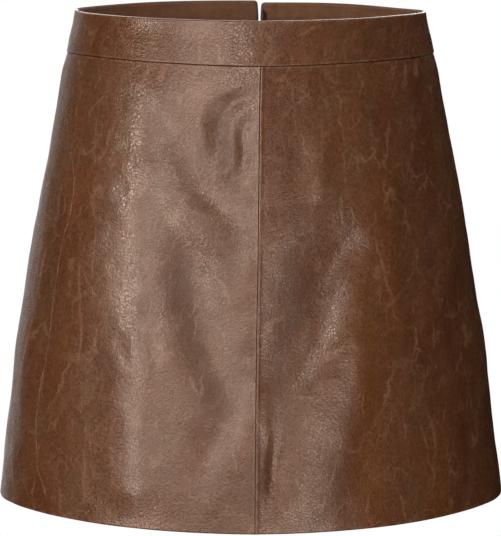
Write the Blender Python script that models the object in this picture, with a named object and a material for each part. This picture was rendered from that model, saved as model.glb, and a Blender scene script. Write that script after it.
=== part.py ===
"""A worn leather mini skirt, built from the pieces that are cut and sewn.

The origin is the middle of the waist ring, at the waistband's mid-height, where the wearer holds the skirt. The front
faces -Y, +X is the wearer's left and +Z is up. Lengths are in metres; the tables are in millimetres and degrees.

Every piece is a wall between two offsets from one surface, the outer face of the panels. A place on that surface is
an angle round the waist, 0 at the middle front and positive towards the wearer's left, and a drop below the top edge.
"""

from collections import namedtuple
from math import asin, atan2, cos, hypot, pi, radians, sin

import bmesh
import bpy
import numpy as np

MM = 0.001

# Waistband and length.
BAND_HEIGHT = 36 * MM
SIDE_LENGTH = 400 * MM
TOP_Z = BAND_HEIGHT / 2
HEM_TURN_UP = 28 * MM

# Walls. The layers are counted inwards from the panels' outer face.
SEAM_GAP = 0.3 * MM
LEATHER = 1.2 * MM
HEM_THICKNESS = 2.4 * MM
BAND_LIP = 0.8 * MM
BAND_LIP_CURVE = 1.5
FACING_OUTER = LEATHER + SEAM_GAP
FACING_THICKNESS = 1.0 * MM
TAPE_GAP = 0.15 * MM
TAPE_OUTER = FACING_OUTER + TAPE_GAP
TAPE_THICKNESS = 1.0 * MM
FACING_OVER_TAPE = TAPE_THICKNESS + 2 * SEAM_GAP

# Grid of a wall.
PANEL_ROWS = 18
FRONT_PANEL_COLUMNS = 20
BACK_COLUMNS = 16
FRONT_BAND_COLUMNS = 36
HEM_STEP = 1.5 * MM
SIDE_SEAM_ANGLE = radians(94)

# Zip in the centre back seam.
ZIP_END = 190 * MM
CHAIN_START = 27.5 * MM
CHAIN_HALF_WIDTH = 1.9 * MM
CHAIN_THICKNESS = 1.6 * MM
TAPE_INNER_EDGE = 2.2 * MM
TAPE_WIDTH = 9.5 * MM
TAPE_OUTER_EDGE = TAPE_INNER_EDGE + TAPE_WIDTH
# The facing lies over the zip tape up to the first distance from the centre back, on the waistband past the second.
FACING_RISE = (TAPE_OUTER_EDGE + 1.0 * MM, TAPE_OUTER_EDGE + 2.4 * MM)
SLIDER_DROP = 20.5 * MM
SLIDER_CLEARANCE = 0.3 * MM
SLIDER_ABOVE = 4.0 * MM
SLIDER_BELOW = 6.0 * MM
SLIDER_HALF_WIDTH = 2.6 * MM
SLIDER_THICKNESS = 2.8 * MM
SLIDER_NOSE = 1.5 * MM
SLIDER_TAPER = 0.5 * MM
BRIDGE_HALF_WIDTH = 0.45 * MM
BRIDGE_WIRE = 1.0 * MM
BRIDGE_INSIDE = 0.9 * MM
BRIDGE_CHAMFER = 0.5 * MM
BRIDGE_CROWN = 0.75 * MM
BRIDGE_ROOT = 0.6 * MM
PIVOT_HEIGHT = 0.85 * MM
TAB_THICKNESS = 0.8 * MM
TAB_LENGTH = 21 * MM
TAB_TOP_HALF_WIDTH = 1.7 * MM
TAB_END_HALF_WIDTH = 2.3 * MM
TAB_EYE_LENGTH = 3.3 * MM
TAB_EYE_HALF_WIDTH = 0.95 * MM
TAB_SIDES = 32
# How square each half of the tab's outline and its eye are: 1 is an ellipse, 0 is a rectangle.
TAB_TOP_SQUARENESS = (0.6, 0.8)
TAB_END_SQUARENESS = (0.35, 0.7)
TAB_EYE_SQUARENESS = 0.5

Section = namedtuple("Section", "drop half_width front_depth back_depth front_seam_x back_seam_x")
SECTIONS = (
    Section(0, 142.7, 98.0, 100.0, 8.2, 7.5),
    Section(12, 144.4, 99.3, 101.2, 8.1, 7.6),
    Section(24, 147.0, 101.2, 102.7, 8.0, 7.7),
    Section(36, 149.1, 103.0, 104.2, 7.9, 7.8),
    Section(50, 153.0, 105.6, 107.0, 7.7, 7.7),
    Section(70, 156.6, 108.8, 110.6, 7.3, 7.4),
    Section(90, 160.4, 111.9, 114.4, 7.1, 7.0),
    Section(120, 166.0, 116.2, 119.8, 6.8, 6.5),
    Section(150, 172.3, 119.9, 124.2, 6.5, 6.1),
    Section(180, 177.8, 122.9, 127.4, 6.2, 5.8),
    Section(210, 182.6, 125.6, 129.6, 5.6, 5.4),
    Section(240, 187.3, 128.2, 131.3, 5.2, 5.0),
    Section(270, 192.8, 130.8, 132.8, 4.8, 4.7),
    Section(300, 196.6, 133.4, 134.2, 4.4, 4.3),
    Section(330, 200.0, 136.0, 135.6, 4.1, 4.0),
    Section(360, 203.6, 138.6, 136.8, 3.8, 3.8),
    Section(400, 208.3, 142.0, 138.0, 3.5, 3.5),
)

# How far the top edge, the waist seam and the hem stand above a level line, round the waist.
EdgeLift = namedtuple("EdgeLift", "angle top waist_seam hem")
EDGE_LIFTS = (
    EdgeLift(0, 0.0, 0.5, -3.0),
    EdgeLift(30, 0.2, 1.5, -1.6),
    EdgeLift(60, 0.9, 2.4, 1.3),
    EdgeLift(90, -0.2, 2.6, 0.3),
    EdgeLift(120, -1.8, 1.2, 0.4),
    EdgeLift(150, -0.6, 0.6, -0.8),
    EdgeLift(176.97, -1.0, 0.6, -1.4),
    EdgeLift(177.01, 0.7, 0.6, -1.4),
    EdgeLift(210, 0.9, 0.6, -0.8),
    EdgeLift(240, 0.4, 1.4, 0.4),
    EdgeLift(270, 1.3, 2.8, 0.3),
    EdgeLift(300, 1.6, 4.0, 1.1),
    EdgeLift(330, 0.9, 2.5, -1.2),
    EdgeLift(360, 0.0, 0.5, -3.0),
)

# Soft troughs (negative) and ridges (positive), each along a line from its upper end to its lower end.
Fold = namedtuple("Fold", "angle drop end_angle end_drop width height")
FOLDS = (
    Fold(-4, 64, -12, 112, 9, -0.8),
    Fold(-24, 93, -7, 162, 10, -1.2),
    Fold(-23, 150, -14, 255, 11, -1.1),
    Fold(-34, 60, -38, 330, 26, 1.6),
    Fold(28, 176, 9, 292, 13, 1.2),
    Fold(12, 168, 5, 252, 10, -0.9),
    Fold(34, 70, 40, 340, 26, 1.2),
    Fold(60, 110, 52, 230, 14, -1.0),
    Fold(-66, 150, -58, 300, 15, -1.0),
    Fold(122, 150, 136, 285, 16, -1.4),
    Fold(150, 190, 141, 330, 20, 1.3),
    Fold(158, 96, 163, 190, 10, -0.9),
    Fold(204, 150, 218, 300, 18, 1.4),
    Fold(232, 120, 222, 250, 14, -1.2),
)

# Half of the gap between the two ends of the waistband at the centre back: a rounded notch over the slider's slot.
NotchEdge = namedtuple("NotchEdge", "drop half_gap")
NOTCH = (
    NotchEdge(0, 4.4),
    NotchEdge(0.4, 3.0),
    NotchEdge(1.4, 1.9),
    NotchEdge(3, 1.45),
    NotchEdge(8, 1.1),
    NotchEdge(12.5, 0.8),
    NotchEdge(17, 0.8),
    NotchEdge(25.5, 0.8),
    NotchEdge(27, 0.15),
    NotchEdge(36, 0.15),
)

# Distance of each facing's end from the centre back, and of the zip tapes' inner edges.
FacingEnd = namedtuple("FacingEnd", "drop right left")
FACING_ENDS = (
    FacingEnd(0.5, 5.2, 5.2),
    FacingEnd(2, 2.8, 2.8),
    FacingEnd(5, 2.3, 3.0),
    FacingEnd(9, 2.1, 6.4),
    FacingEnd(13.5, 2.1, 6.6),
    FacingEnd(16, 3.3, 6.6),
    FacingEnd(28, 3.3, 6.6),
    FacingEnd(38.5, 3.3, 6.6),
)
TapeEdge = namedtuple("TapeEdge", "drop distance")
TAPE_EDGES = (TapeEdge(6, 3.0), TapeEdge(28, 3.0), TapeEdge(33, 2.2), TapeEdge(190, 2.2))

Finish = namedtuple("Finish", "colour roughness metallic")
LEATHER_FINISH = Finish((0.19, 0.085, 0.042), 0.38, 0.0)
FACING_FINISH = Finish((0.16, 0.08, 0.045), 0.6, 0.0)
TAPE_FINISH = Finish((0.045, 0.022, 0.014), 0.85, 0.0)
CHAIN_FINISH = Finish((0.05, 0.026, 0.018), 0.5, 0.0)
METAL_FINISH = Finish((0.12, 0.075, 0.05), 0.35, 0.9)


def column(table, name, scale=MM):
    """One column of a table, as an array in metres, or in radians with scale=radians(1)."""
    return np.array([getattr(row, name) for row in table], float) * scale


def smooth(knots, values, place):
    """Cubic through the knots with the slope of each knot's neighbours, so the curve has no corner."""
    slopes = np.gradient(values, knots)
    index = int(np.clip(np.searchsorted(knots, place) - 1, 0, len(knots) - 2))
    span = knots[index + 1] - knots[index]
    t = min(max((place - knots[index]) / span, 0.0), 1.0)
    rise = values[index + 1] - values[index]
    start = slopes[index] * span
    end = slopes[index + 1] * span
    return values[index] + t * start + t * t * (3 * rise - 2 * start - end) + t**3 * (start + end - 2 * rise)


def section(name, drop):
    return smooth(column(SECTIONS, "drop"), column(SECTIONS, name), drop)


def seam_angle(seam, drop):
    """Where a seam runs at this drop: front, left, back or right, in turn round the waist."""
    if seam == "left":
        return SIDE_SEAM_ANGLE
    if seam == "right":
        return 2 * pi - SIDE_SEAM_ANGLE
    shift = asin(section(f"{seam}_seam_x", drop) / section("half_width", drop))
    return shift if seam == "front" else pi - shift


def edge_lift(angle, drop):
    """Height above a level line: the top edge's, blending into the waist seam's and then the hem's."""
    turned = angle % (2 * pi)
    angles = column(EDGE_LIFTS, "angle", radians(1))
    top, waist, hem = (np.interp(turned, angles, column(EDGE_LIFTS, name)) for name in ("top", "waist_seam", "hem"))
    return float(np.interp(drop, (0, BAND_HEIGHT, SIDE_LENGTH), (top, waist, hem)))


def fold_height(angle, drop):
    """Sum of the soft folds at a place, each fading out towards its ends."""
    total = 0.0
    width_here = section("half_width", drop)
    for fold in FOLDS:
        along_x = radians(fold.end_angle - fold.angle) * width_here
        along_z = (fold.end_drop - fold.drop) * MM
        away = (angle - radians(fold.angle) + pi) % (2 * pi) - pi
        from_x = away * width_here
        from_z = drop - fold.drop * MM
        length = hypot(along_x, along_z)
        along = (from_x * along_x + from_z * along_z) / length
        across = (from_x * along_z - from_z * along_x) / length
        beyond = abs(along / length - 0.5) * 2
        fade = np.exp(-(beyond**4))
        total += fold.height * MM * np.exp(-((across / (fold.width * MM)) ** 2)) * fade
    return total


def level_surface(angle, drop):
    """A point of the panels' outer face, before its edges are lifted."""
    depth = section("front_depth" if cos(angle) > 0 else "back_depth", drop)
    out = 1 + fold_height(angle, drop) / depth
    return np.array((section("half_width", drop) * sin(angle) * out, -depth * cos(angle) * out, TOP_Z - drop))


def surface(angle, drop):
    """A point of the panels' outer face."""
    return level_surface(angle, drop) + (0, 0, edge_lift(angle, drop))


def surface_frame(angle, drop):
    """The surface's point, its outward normal, and how far it moves for each radian round the waist."""
    step = 1e-4
    round_waist = (level_surface(angle + step, drop) - level_surface(angle - step, drop)) / (2 * step)
    low, high = max(drop - step, 0), min(drop + step, SIDE_LENGTH)
    down = (level_surface(angle, high) - level_surface(angle, low)) / (high - low)
    normal = np.cross(down, round_waist)
    return surface(angle, drop), normal / np.linalg.norm(normal), float(np.linalg.norm(round_waist))


def moved_round(angle, drop, distance):
    """The angle that lies this distance further round the waist."""
    return angle + distance / surface_frame(angle, drop)[2]


def seam_columns(first, last, count):
    """Column angles of a piece between two seams, its borders half a gap from them."""

    def angles(drop):
        start = seam_angle(first, drop) - (2 * pi if first == "right" else 0)
        line = np.linspace(start, seam_angle(last, drop), count + 1)
        line[0] = moved_round(line[0], drop, SEAM_GAP / 2)
        line[-1] = moved_round(line[-1], drop, -SEAM_GAP / 2)
        return line

    return angles


def notched_columns(side):
    """Columns of one back waistband, its centre end cut to the notch."""
    plain = back_columns(side)

    def angles(drop):
        line = plain(drop)
        half_gap = np.interp(drop, column(NOTCH, "drop"), column(NOTCH, "half_gap"))
        centre = seam_angle("back", drop)
        if side == "left":
            line[-1] = moved_round(centre, drop, -half_gap)
        else:
            line[0] = moved_round(centre, drop, half_gap)
        return line

    return angles


def back_columns(side):
    first, last = ("left", "back") if side == "left" else ("back", "right")
    return seam_columns(first, last, BACK_COLUMNS)


def facing_columns(side):
    """The waistband's columns, with three more where the facing rises over the zip tape."""
    plain = back_columns(side)
    toward_side = -1 if side == "left" else 1

    def angles(drop):
        end = np.interp(drop, column(FACING_ENDS, "drop"), column(FACING_ENDS, side))
        centre = seam_angle("back", drop)
        rise = [moved_round(centre, drop, toward_side * away) for away in (end, FACING_RISE[0], FACING_RISE[1])]
        line = plain(drop)
        if side == "left":
            return np.concatenate([line[:-2], rise[::-1]])
        return np.concatenate([rise, line[2:]])

    return angles


def strip_columns(inner, outer, count, side):
    """Columns of a narrow strip beside the centre back, from one distance to another."""
    toward_side = -1 if side == "left" else 1

    def angles(drop):
        near = np.interp(drop, column(TAPE_EDGES, "drop"), column(TAPE_EDGES, "distance")) if inner is None else inner
        ends = sorted((toward_side * near, toward_side * outer))
        return [moved_round(seam_angle("back", drop), drop, away) for away in np.linspace(*ends, count + 1)]

    return angles


def wall(name, drops, columns, outer, inner, finish):
    """A closed wall over a grid, between two offsets outwards from the surface. An offset takes (drop, across)."""
    mesh = bmesh.new()
    layers = ([], [])
    for drop in drops:
        angles = columns(drop)
        centre = seam_angle("back", drop)
        rows = ([], [])
        for angle in angles:
            point, normal, speed = surface_frame(angle, drop)
            across = abs(angle - centre) * speed
            for row, offset in zip(rows, (outer, inner)):
                row.append(mesh.verts.new(point + normal * offset(drop, across)))
        for layer, row in zip(layers, rows):
            layer.append(row)
    for layer, outward in zip(layers, (True, False)):
        for above, below in zip(layer, layer[1:]):
            for corners in zip(above, below, below[1:], above[1:]):
                mesh.faces.new(corners if outward else corners[::-1])
    rims = [[row[i] for row in layer] for i in (0, -1) for layer in layers]
    rims += [layer[i] for i in (0, -1) for layer in layers]
    for face_edge, back_edge in zip(rims[::2], rims[1::2]):
        for corners in zip(face_edge, back_edge, back_edge[1:], face_edge[1:]):
            mesh.faces.new(corners)
    bmesh.ops.recalc_face_normals(mesh, faces=mesh.faces)
    return new_object(name, mesh, finish)


def new_object(name, mesh, finish):
    """An object of this mesh, with its own material and smooth sides."""
    data = bpy.data.meshes.new(name)
    mesh.to_mesh(data)
    mesh.free()
    data.shade_smooth()
    data.set_sharp_from_angle(angle=radians(40))
    material = bpy.data.materials.new(name)
    material.use_nodes = True
    shader = material.node_tree.nodes["Principled BSDF"]
    shader.inputs["Base Color"].default_value = (*finish.colour, 1)
    shader.inputs["Roughness"].default_value = finish.roughness
    shader.inputs["Metallic"].default_value = finish.metallic
    data.materials.append(material)
    piece = bpy.data.objects.new(name, data)
    bpy.context.collection.objects.link(piece)
    return piece


def level(offset):
    return lambda drop, across: offset


def band_face(drop, across):
    """The waistband stands proud of the panels by a small lip at its lower edge."""
    return BAND_LIP * (drop / BAND_HEIGHT) ** BAND_LIP_CURVE


def panel_back(drop, across):
    """Inner face of a panel, stepped in where the hem is turned up and glued."""
    return -HEM_THICKNESS if drop > SIDE_LENGTH - HEM_TURN_UP else -LEATHER


def facing_face(drop, across):
    rise = np.interp(across, FACING_RISE, (FACING_OVER_TAPE, 0))
    return -FACING_OUTER - rise


def facing_back(drop, across):
    return facing_face(drop, across) - FACING_THICKNESS


def panel_drops():
    """Rows of the panels, with a step where the hem's turn-up begins."""
    hem_top = SIDE_LENGTH - HEM_TURN_UP
    rows = [*np.linspace(BAND_HEIGHT + SEAM_GAP, hem_top, PANEL_ROWS)]
    return rows + [hem_top + HEM_STEP, SIDE_LENGTH - HEM_TURN_UP / 2, SIDE_LENGTH]


def panels():
    """The four panels, from the waist seam to the hem."""
    drops = panel_drops()
    layouts = {
        "front_panel_right": seam_columns("right", "front", FRONT_PANEL_COLUMNS),
        "front_panel_left": seam_columns("front", "left", FRONT_PANEL_COLUMNS),
        "back_panel_left": back_columns("left"),
        "back_panel_right": back_columns("right"),
    }
    for name, columns in layouts.items():
        wall(name, drops, columns, level(0), panel_back, LEATHER_FINISH)


def waistband():
    """One front band, folded double, and two single back bands that end at the notch."""
    front_drops = np.linspace(0, BAND_HEIGHT, 5)
    front_columns = seam_columns("right", "left", FRONT_BAND_COLUMNS)
    folded_back = level(-FACING_OUTER - FACING_THICKNESS)
    wall("waistband_front", front_drops, front_columns, band_face, folded_back, LEATHER_FINISH)
    for side in ("right", "left"):
        drops = column(NOTCH, "drop")
        wall(f"waistband_back_{side}", drops, notched_columns(side), band_face, level(-LEATHER), LEATHER_FINISH)


def facings():
    """The facing inside each back waistband, in over the zip tape."""
    for side in ("right", "left"):
        drops = column(FACING_ENDS, "drop")
        wall(f"facing_back_{side}", drops, facing_columns(side), facing_face, facing_back, FACING_FINISH)


def zip_strips():
    """Two tapes and, between them, the closed chain of teeth as one strip."""
    lower_rows = [drop for drop in panel_drops() if drop < ZIP_END]
    tape_rows = [*column(TAPE_EDGES, "drop")[:-1], *lower_rows, ZIP_END]
    tape_back = level(-TAPE_OUTER - TAPE_THICKNESS)
    for side in ("right", "left"):
        columns = strip_columns(None, TAPE_OUTER_EDGE, 2, side)
        wall(f"zip_tape_{side}", tape_rows, columns, level(-TAPE_OUTER), tape_back, TAPE_FINISH)
    chain_rows = [CHAIN_START, *lower_rows]
    chain_columns = strip_columns(-CHAIN_HALF_WIDTH, CHAIN_HALF_WIDTH, 2, "right")
    chain_back = level(-TAPE_OUTER - CHAIN_THICKNESS)
    wall("zip_chain", chain_rows, chain_columns, level(-TAPE_OUTER), chain_back, CHAIN_FINISH)


def slider_frame():
    """Pivot of the pull tab, and the lean that lays the slider and the tab along the band at the centre back."""
    centre = seam_angle("back", SLIDER_DROP)
    here = surface(centre, SLIDER_DROP)
    below = surface(centre, BAND_HEIGHT)
    rise = below[1] + band_face(BAND_HEIGHT, 0) - here[1] - band_face(SLIDER_DROP, 0)
    lean = atan2(rise, here[2] - below[2])
    out = PIVOT_HEIGHT + band_face(SLIDER_DROP, 0)
    pivot = here + out * np.array((0, cos(lean), sin(lean)))
    return pivot, lean


def placed(piece):
    """Puts a piece made round the pivot in its place: its +Y points outwards and its -Z down along the band."""
    pivot, lean = slider_frame()
    piece.location = pivot
    piece.rotation_euler = (lean, 0, 0)
    return piece


def extruded(outline, half_width):
    """A closed prism of an outline in the YZ plane, to both sides along X."""
    mesh = bmesh.new()
    face = mesh.faces.new([mesh.verts.new((-half_width, y, z)) for y, z in outline])
    pushed = bmesh.ops.extrude_face_region(mesh, geom=[face])
    moved = [item for item in pushed["geom"] if isinstance(item, bmesh.types.BMVert)]
    bmesh.ops.translate(mesh, verts=moved, vec=(2 * half_width, 0, 0))
    bmesh.ops.recalc_face_normals(mesh, faces=mesh.faces)
    return mesh


def slider():
    """The slider behind the band, with its bridge out through the slot between the band's ends."""
    surface_y = -PIVOT_HEIGHT
    face_y = surface_y - band_face(SLIDER_DROP, 0) - LEATHER - SEAM_GAP - SLIDER_CLEARANCE
    back_y = face_y - SLIDER_THICKNESS
    body = bmesh.new()
    plan = (
        (SLIDER_HALF_WIDTH, SLIDER_ABOVE - SLIDER_NOSE),
        (SLIDER_HALF_WIDTH - SLIDER_NOSE, SLIDER_ABOVE),
        (SLIDER_NOSE - SLIDER_HALF_WIDTH, SLIDER_ABOVE),
        (-SLIDER_HALF_WIDTH, SLIDER_ABOVE - SLIDER_NOSE),
        (-SLIDER_HALF_WIDTH + SLIDER_TAPER, -SLIDER_BELOW),
        (SLIDER_HALF_WIDTH - SLIDER_TAPER, -SLIDER_BELOW),
    )
    face = body.faces.new([body.verts.new((x, face_y, z)) for x, z in plan])
    pushed = bmesh.ops.extrude_face_region(body, geom=[face])
    moved = [item for item in pushed["geom"] if isinstance(item, bmesh.types.BMVert)]
    bmesh.ops.translate(body, verts=moved, vec=(0, back_y - face_y, 0))
    bmesh.ops.recalc_face_normals(body, faces=body.faces)
    piece = placed(new_object("zip_slider", body, METAL_FINISH))

    crown = BRIDGE_CROWN + BRIDGE_WIRE
    outside = BRIDGE_INSIDE + BRIDGE_WIRE
    foot = face_y - BRIDGE_ROOT
    arch = (
        (foot, outside),
        (crown - BRIDGE_CHAMFER, outside),
        (crown, outside - BRIDGE_CHAMFER),
        (crown, BRIDGE_CHAMFER - outside),
        (crown - BRIDGE_CHAMFER, -outside),
        (foot, -outside),
        (foot, -BRIDGE_INSIDE),
        (BRIDGE_CROWN, -BRIDGE_INSIDE),
        (BRIDGE_CROWN, BRIDGE_INSIDE),
        (foot, BRIDGE_INSIDE),
    )
    bridge = placed(new_object("slider_bridge", extruded(arch, BRIDGE_HALF_WIDTH), METAL_FINISH))
    bridge.hide_render = True
    bridge.display_type = "WIRE"
    join = piece.modifiers.new("bridge", "BOOLEAN")
    join.operation = "UNION"
    join.object = bridge


def rounded(turn, half_width, half_length, square_x, square_z):
    """A point of a rounded outline, this far round it."""
    x = np.sign(cos(turn)) * half_width * abs(cos(turn)) ** square_x
    z = np.sign(sin(turn)) * half_length * abs(sin(turn)) ** square_z
    return x, z


def pull_tab():
    """A flat tab with an eye round the slider's bridge. Its origin is on the pivot."""
    mesh = bmesh.new()
    bar = TAB_THICKNESS / 2
    middle = -(bar + TAB_EYE_LENGTH / 2)
    rings = {}
    for place in (-TAB_THICKNESS / 2, TAB_THICKNESS / 2):
        outside, eye = [], []
        for turn in np.linspace(0, 2 * pi, TAB_SIDES, endpoint=False):
            high = sin(turn) > 0
            half_width = TAB_TOP_HALF_WIDTH if high else TAB_END_HALF_WIDTH
            reach = bar - middle if high else TAB_LENGTH + middle
            x, z = rounded(turn, half_width, reach, *(TAB_TOP_SQUARENESS if high else TAB_END_SQUARENESS))
            outside.append(mesh.verts.new((x, place, middle + z)))
            x, z = rounded(turn, TAB_EYE_HALF_WIDTH, TAB_EYE_LENGTH / 2, TAB_EYE_SQUARENESS, TAB_EYE_SQUARENESS)
            eye.append(mesh.verts.new((x, place, middle + z)))
        rings[place] = (outside, eye)
    (front_out, front_eye), (back_out, back_eye) = rings.values()
    for a, b in ((front_out, front_eye), (back_out, back_eye), (front_out, back_out), (front_eye, back_eye)):
        for i in range(TAB_SIDES):
            j = (i + 1) % TAB_SIDES
            mesh.faces.new((a[i], a[j], b[j], b[i]))
    bmesh.ops.recalc_face_normals(mesh, faces=mesh.faces)
    placed(new_object("zip_pull_tab", mesh, METAL_FINISH))


def main():
    for old in list(bpy.data.objects):
        bpy.data.objects.remove(old)
    panels()
    waistband()
    facings()
    zip_strips()
    slider()
    pull_tab()


main()
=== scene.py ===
"""Dresses the frame of a leather mini skirt: leather walls, sewing, zip, finishes and a plain white studio.

Lengths are in metres; the tables are in millimetres and degrees. A place on the skirt is an angle round the
waist, 0 at the middle front and positive towards the wearer's left, and a drop below the top edge.
"""

from collections import namedtuple
from math import atan2, cos, pi, radians, sin, tan

import bmesh
import bpy
import numpy as np
from bpy.props import FloatProperty, FloatVectorProperty, PointerProperty
from mathutils import Matrix, Vector


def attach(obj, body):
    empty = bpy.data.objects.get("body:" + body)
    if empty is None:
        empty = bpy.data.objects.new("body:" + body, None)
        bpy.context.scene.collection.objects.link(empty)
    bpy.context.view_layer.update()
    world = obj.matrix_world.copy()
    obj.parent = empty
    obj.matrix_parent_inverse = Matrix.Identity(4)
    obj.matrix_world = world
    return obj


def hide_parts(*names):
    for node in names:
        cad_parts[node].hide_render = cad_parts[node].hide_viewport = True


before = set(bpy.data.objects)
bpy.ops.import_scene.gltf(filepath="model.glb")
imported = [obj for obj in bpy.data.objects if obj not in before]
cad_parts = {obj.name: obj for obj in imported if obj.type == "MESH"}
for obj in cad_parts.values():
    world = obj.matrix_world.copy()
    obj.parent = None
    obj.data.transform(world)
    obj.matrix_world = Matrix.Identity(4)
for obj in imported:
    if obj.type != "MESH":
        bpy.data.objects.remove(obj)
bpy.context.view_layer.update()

bl_info = {
    "name": "Leather Mini Skirt",
    "version": (1, 0, 0),
    "blender": (4, 5, 0),
    "location": "3D View > Sidebar > Skirt",
    "description": "Makes the leather, sewing and zip of a mini skirt on its frame, and a studio round it",
    "category": "Object",
}

MM = 0.001

# The skirt's sizes, the same as the frame's.
BAND_HEIGHT = 36 * MM
SIDE_LENGTH = 400 * MM
TOP_Z = BAND_HEIGHT / 2
HEM_TURN_UP = 28 * MM
SIDE_SEAM_ANGLE = radians(94)
LEATHER = 1.2 * MM
HEM_THICKNESS = 2.4 * MM
BAND_LIP = 0.8 * MM
BAND_LIP_CURVE = 1.5
FACING_THICKNESS = 1.0 * MM
FOLDED_BAND = 2.5 * MM
ZIP_END = 190 * MM
CHAIN_START = 27.5 * MM
TAPE_DEPTH = 1.65 * MM
TAPE_THICKNESS = 1.0 * MM
TAPE_WIDTH = 9.5 * MM
TAPE_INNER_EDGE = 2.2 * MM
TAPE_TOP = 6 * MM
FACING_TOP = 0.5 * MM
FACING_LENGTH = 38 * MM
SEAM_GAP = 0.3 * MM
SLIDER_DROP = 20.5 * MM
PIVOT_HEIGHT = 0.85 * MM

# The zip's small pieces.
TOOTH = (2.5 * MM, 1.3 * MM, 0.62 * MM)
TOOTH_ROUNDING = 0.24 * MM
TOOTH_END = 0.12 * MM
TOOTH_DEPTH = 0.85 * MM
TOOTH_OFFSET = 0.6 * MM
FIRST_TOOTH = 1 * MM
LAST_TOOTH = 3 * MM
SLIDER_THICKNESS = 2.8 * MM
SLIDER_ABOVE = 4.0 * MM
SLIDER_BELOW = 6.0 * MM
SLIDER_HALF_WIDTH = 2.6 * MM
SLIDER_GAP = 0.6 * MM
SLIDER_NOSE = 1.5 * MM
SLIDER_TAIL = 0.5 * MM
SLIDER_BORDER = 0.45 * MM
SLIDER_SLOT_RIM = 0.75 * MM
SLIDER_SLOT_DEPTH = 0.7 * MM
BRIDGE_WIRE = 0.45 * MM
BRIDGE_FOOT = 0.6 * MM
BRIDGE_REACH = 1.4 * MM
BRIDGE_BEND = 0.55 * MM
BRIDGE_TOP = 1.25 * MM
TAB_THICKNESS = 0.8 * MM
TAB_LENGTH = 21 * MM
TAB_TOP_HALF_WIDTH = 1.7 * MM
TAB_END_HALF_WIDTH = 2.3 * MM
TAB_BAR = 0.4 * MM
TAB_EYE = 3.3 * MM
TAB_CORNER = 1.0 * MM
TAB_BORDER = 0.5 * MM
TAB_EYE_RIM = 0.72 * MM
PANEL_RIM = 0.15 * MM
PANEL_SINK = 0.12 * MM

# Turned edges and seams.
HAIR_GAP = 0.02 * MM
SEAM_ROLL = 0.55 * MM
BAND_ROLL = 0.8 * MM
SEAM_ALLOWANCE = 10 * MM
ALLOWANCE_THICKNESS = 0.9 * MM
ALLOWANCE_TOP = 46 * MM
HEM_STEP = 1.0 * MM
GRID = 2.3 * MM
ARC_SAMPLES = 500
STRIP_REACH = 0.2
CREASE_FADE = 0.18

# The row of stitches, and the ends that it keeps from.
STITCH_SAMPLES = 2000
ROW_FROM_SIDE = 4 * MM
ROW_FROM_ZIP = 6 * MM

# Angles past which an edge is drawn sharp.
WALL_SHARP = radians(50)
COPIES_SHARP = radians(40)
HARD_SHARP = radians(35)

# Relief beside the seams.
RIDGE_HEIGHT = 0.34 * MM
PLAIN_RIDGE_HEIGHT = 0.12 * MM
RIDGE_REACH = 2.0 * MM
TENT_HEIGHT = 0.9 * MM
TENT_REACH = 12 * MM
WELT_HEIGHT = 0.28 * MM
WELT_PLACE = 1.7 * MM
WELT_REACH = 0.9 * MM
PUCKER_SIZE = 7 * MM
PUCKER_HEIGHT = 0.13 * MM
PRESSED_HEIGHT = 0.10 * MM
PRESSED_SOFTNESS = 2.5 * MM
PUCKER_SEED = 21

Section = namedtuple("Section", "drop half_width front_depth back_depth front_seam_x back_seam_x")
SECTIONS = (
    Section(0, 142.7, 98.0, 100.0, 8.2, 7.5),
    Section(12, 144.4, 99.3, 101.2, 8.1, 7.6),
    Section(24, 147.0, 101.2, 102.7, 8.0, 7.7),
    Section(36, 149.1, 103.0, 104.2, 7.9, 7.8),
    Section(50, 153.0, 105.6, 107.0, 7.7, 7.7),
    Section(70, 156.6, 108.8, 110.6, 7.3, 7.4),
    Section(90, 160.4, 111.9, 114.4, 7.1, 7.0),
    Section(120, 166.0, 116.2, 119.8, 6.8, 6.5),
    Section(150, 172.3, 119.9, 124.2, 6.5, 6.1),
    Section(180, 177.8, 122.9, 127.4, 6.2, 5.8),
    Section(210, 182.6, 125.6, 129.6, 5.6, 5.4),
    Section(240, 187.3, 128.2, 131.3, 5.2, 5.0),
    Section(270, 192.8, 130.8, 132.8, 4.8, 4.7),
    Section(300, 196.6, 133.4, 134.2, 4.4, 4.3),
    Section(330, 200.0, 136.0, 135.6, 4.1, 4.0),
    Section(360, 203.6, 138.6, 136.8, 3.8, 3.8),
    Section(400, 208.3, 142.0, 138.0, 3.5, 3.5),
)

# How far the top edge, the waist seam and the hem stand above a level line, from the centre back round to it
# again.
EdgeLift = namedtuple("EdgeLift", "angle top waist_seam hem")
EDGE_LIFTS = (
    EdgeLift(-182.99, 0.7, 0.6, -1.4),
    EdgeLift(-150, 0.9, 0.6, -0.8),
    EdgeLift(-120, 0.4, 1.4, 0.4),
    EdgeLift(-90, 1.3, 2.8, 0.3),
    EdgeLift(-60, 1.6, 4.0, 1.1),
    EdgeLift(-30, 0.9, 2.5, -1.2),
    EdgeLift(0, 0.0, 0.5, -3.0),
    EdgeLift(30, 0.2, 1.5, -1.6),
    EdgeLift(60, 0.9, 2.4, 1.3),
    EdgeLift(90, -0.2, 2.6, 0.3),
    EdgeLift(120, -1.8, 1.2, 0.4),
    EdgeLift(150, -0.6, 0.6, -0.8),
    EdgeLift(176.97, -1.0, 0.6, -1.4),
)

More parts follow.
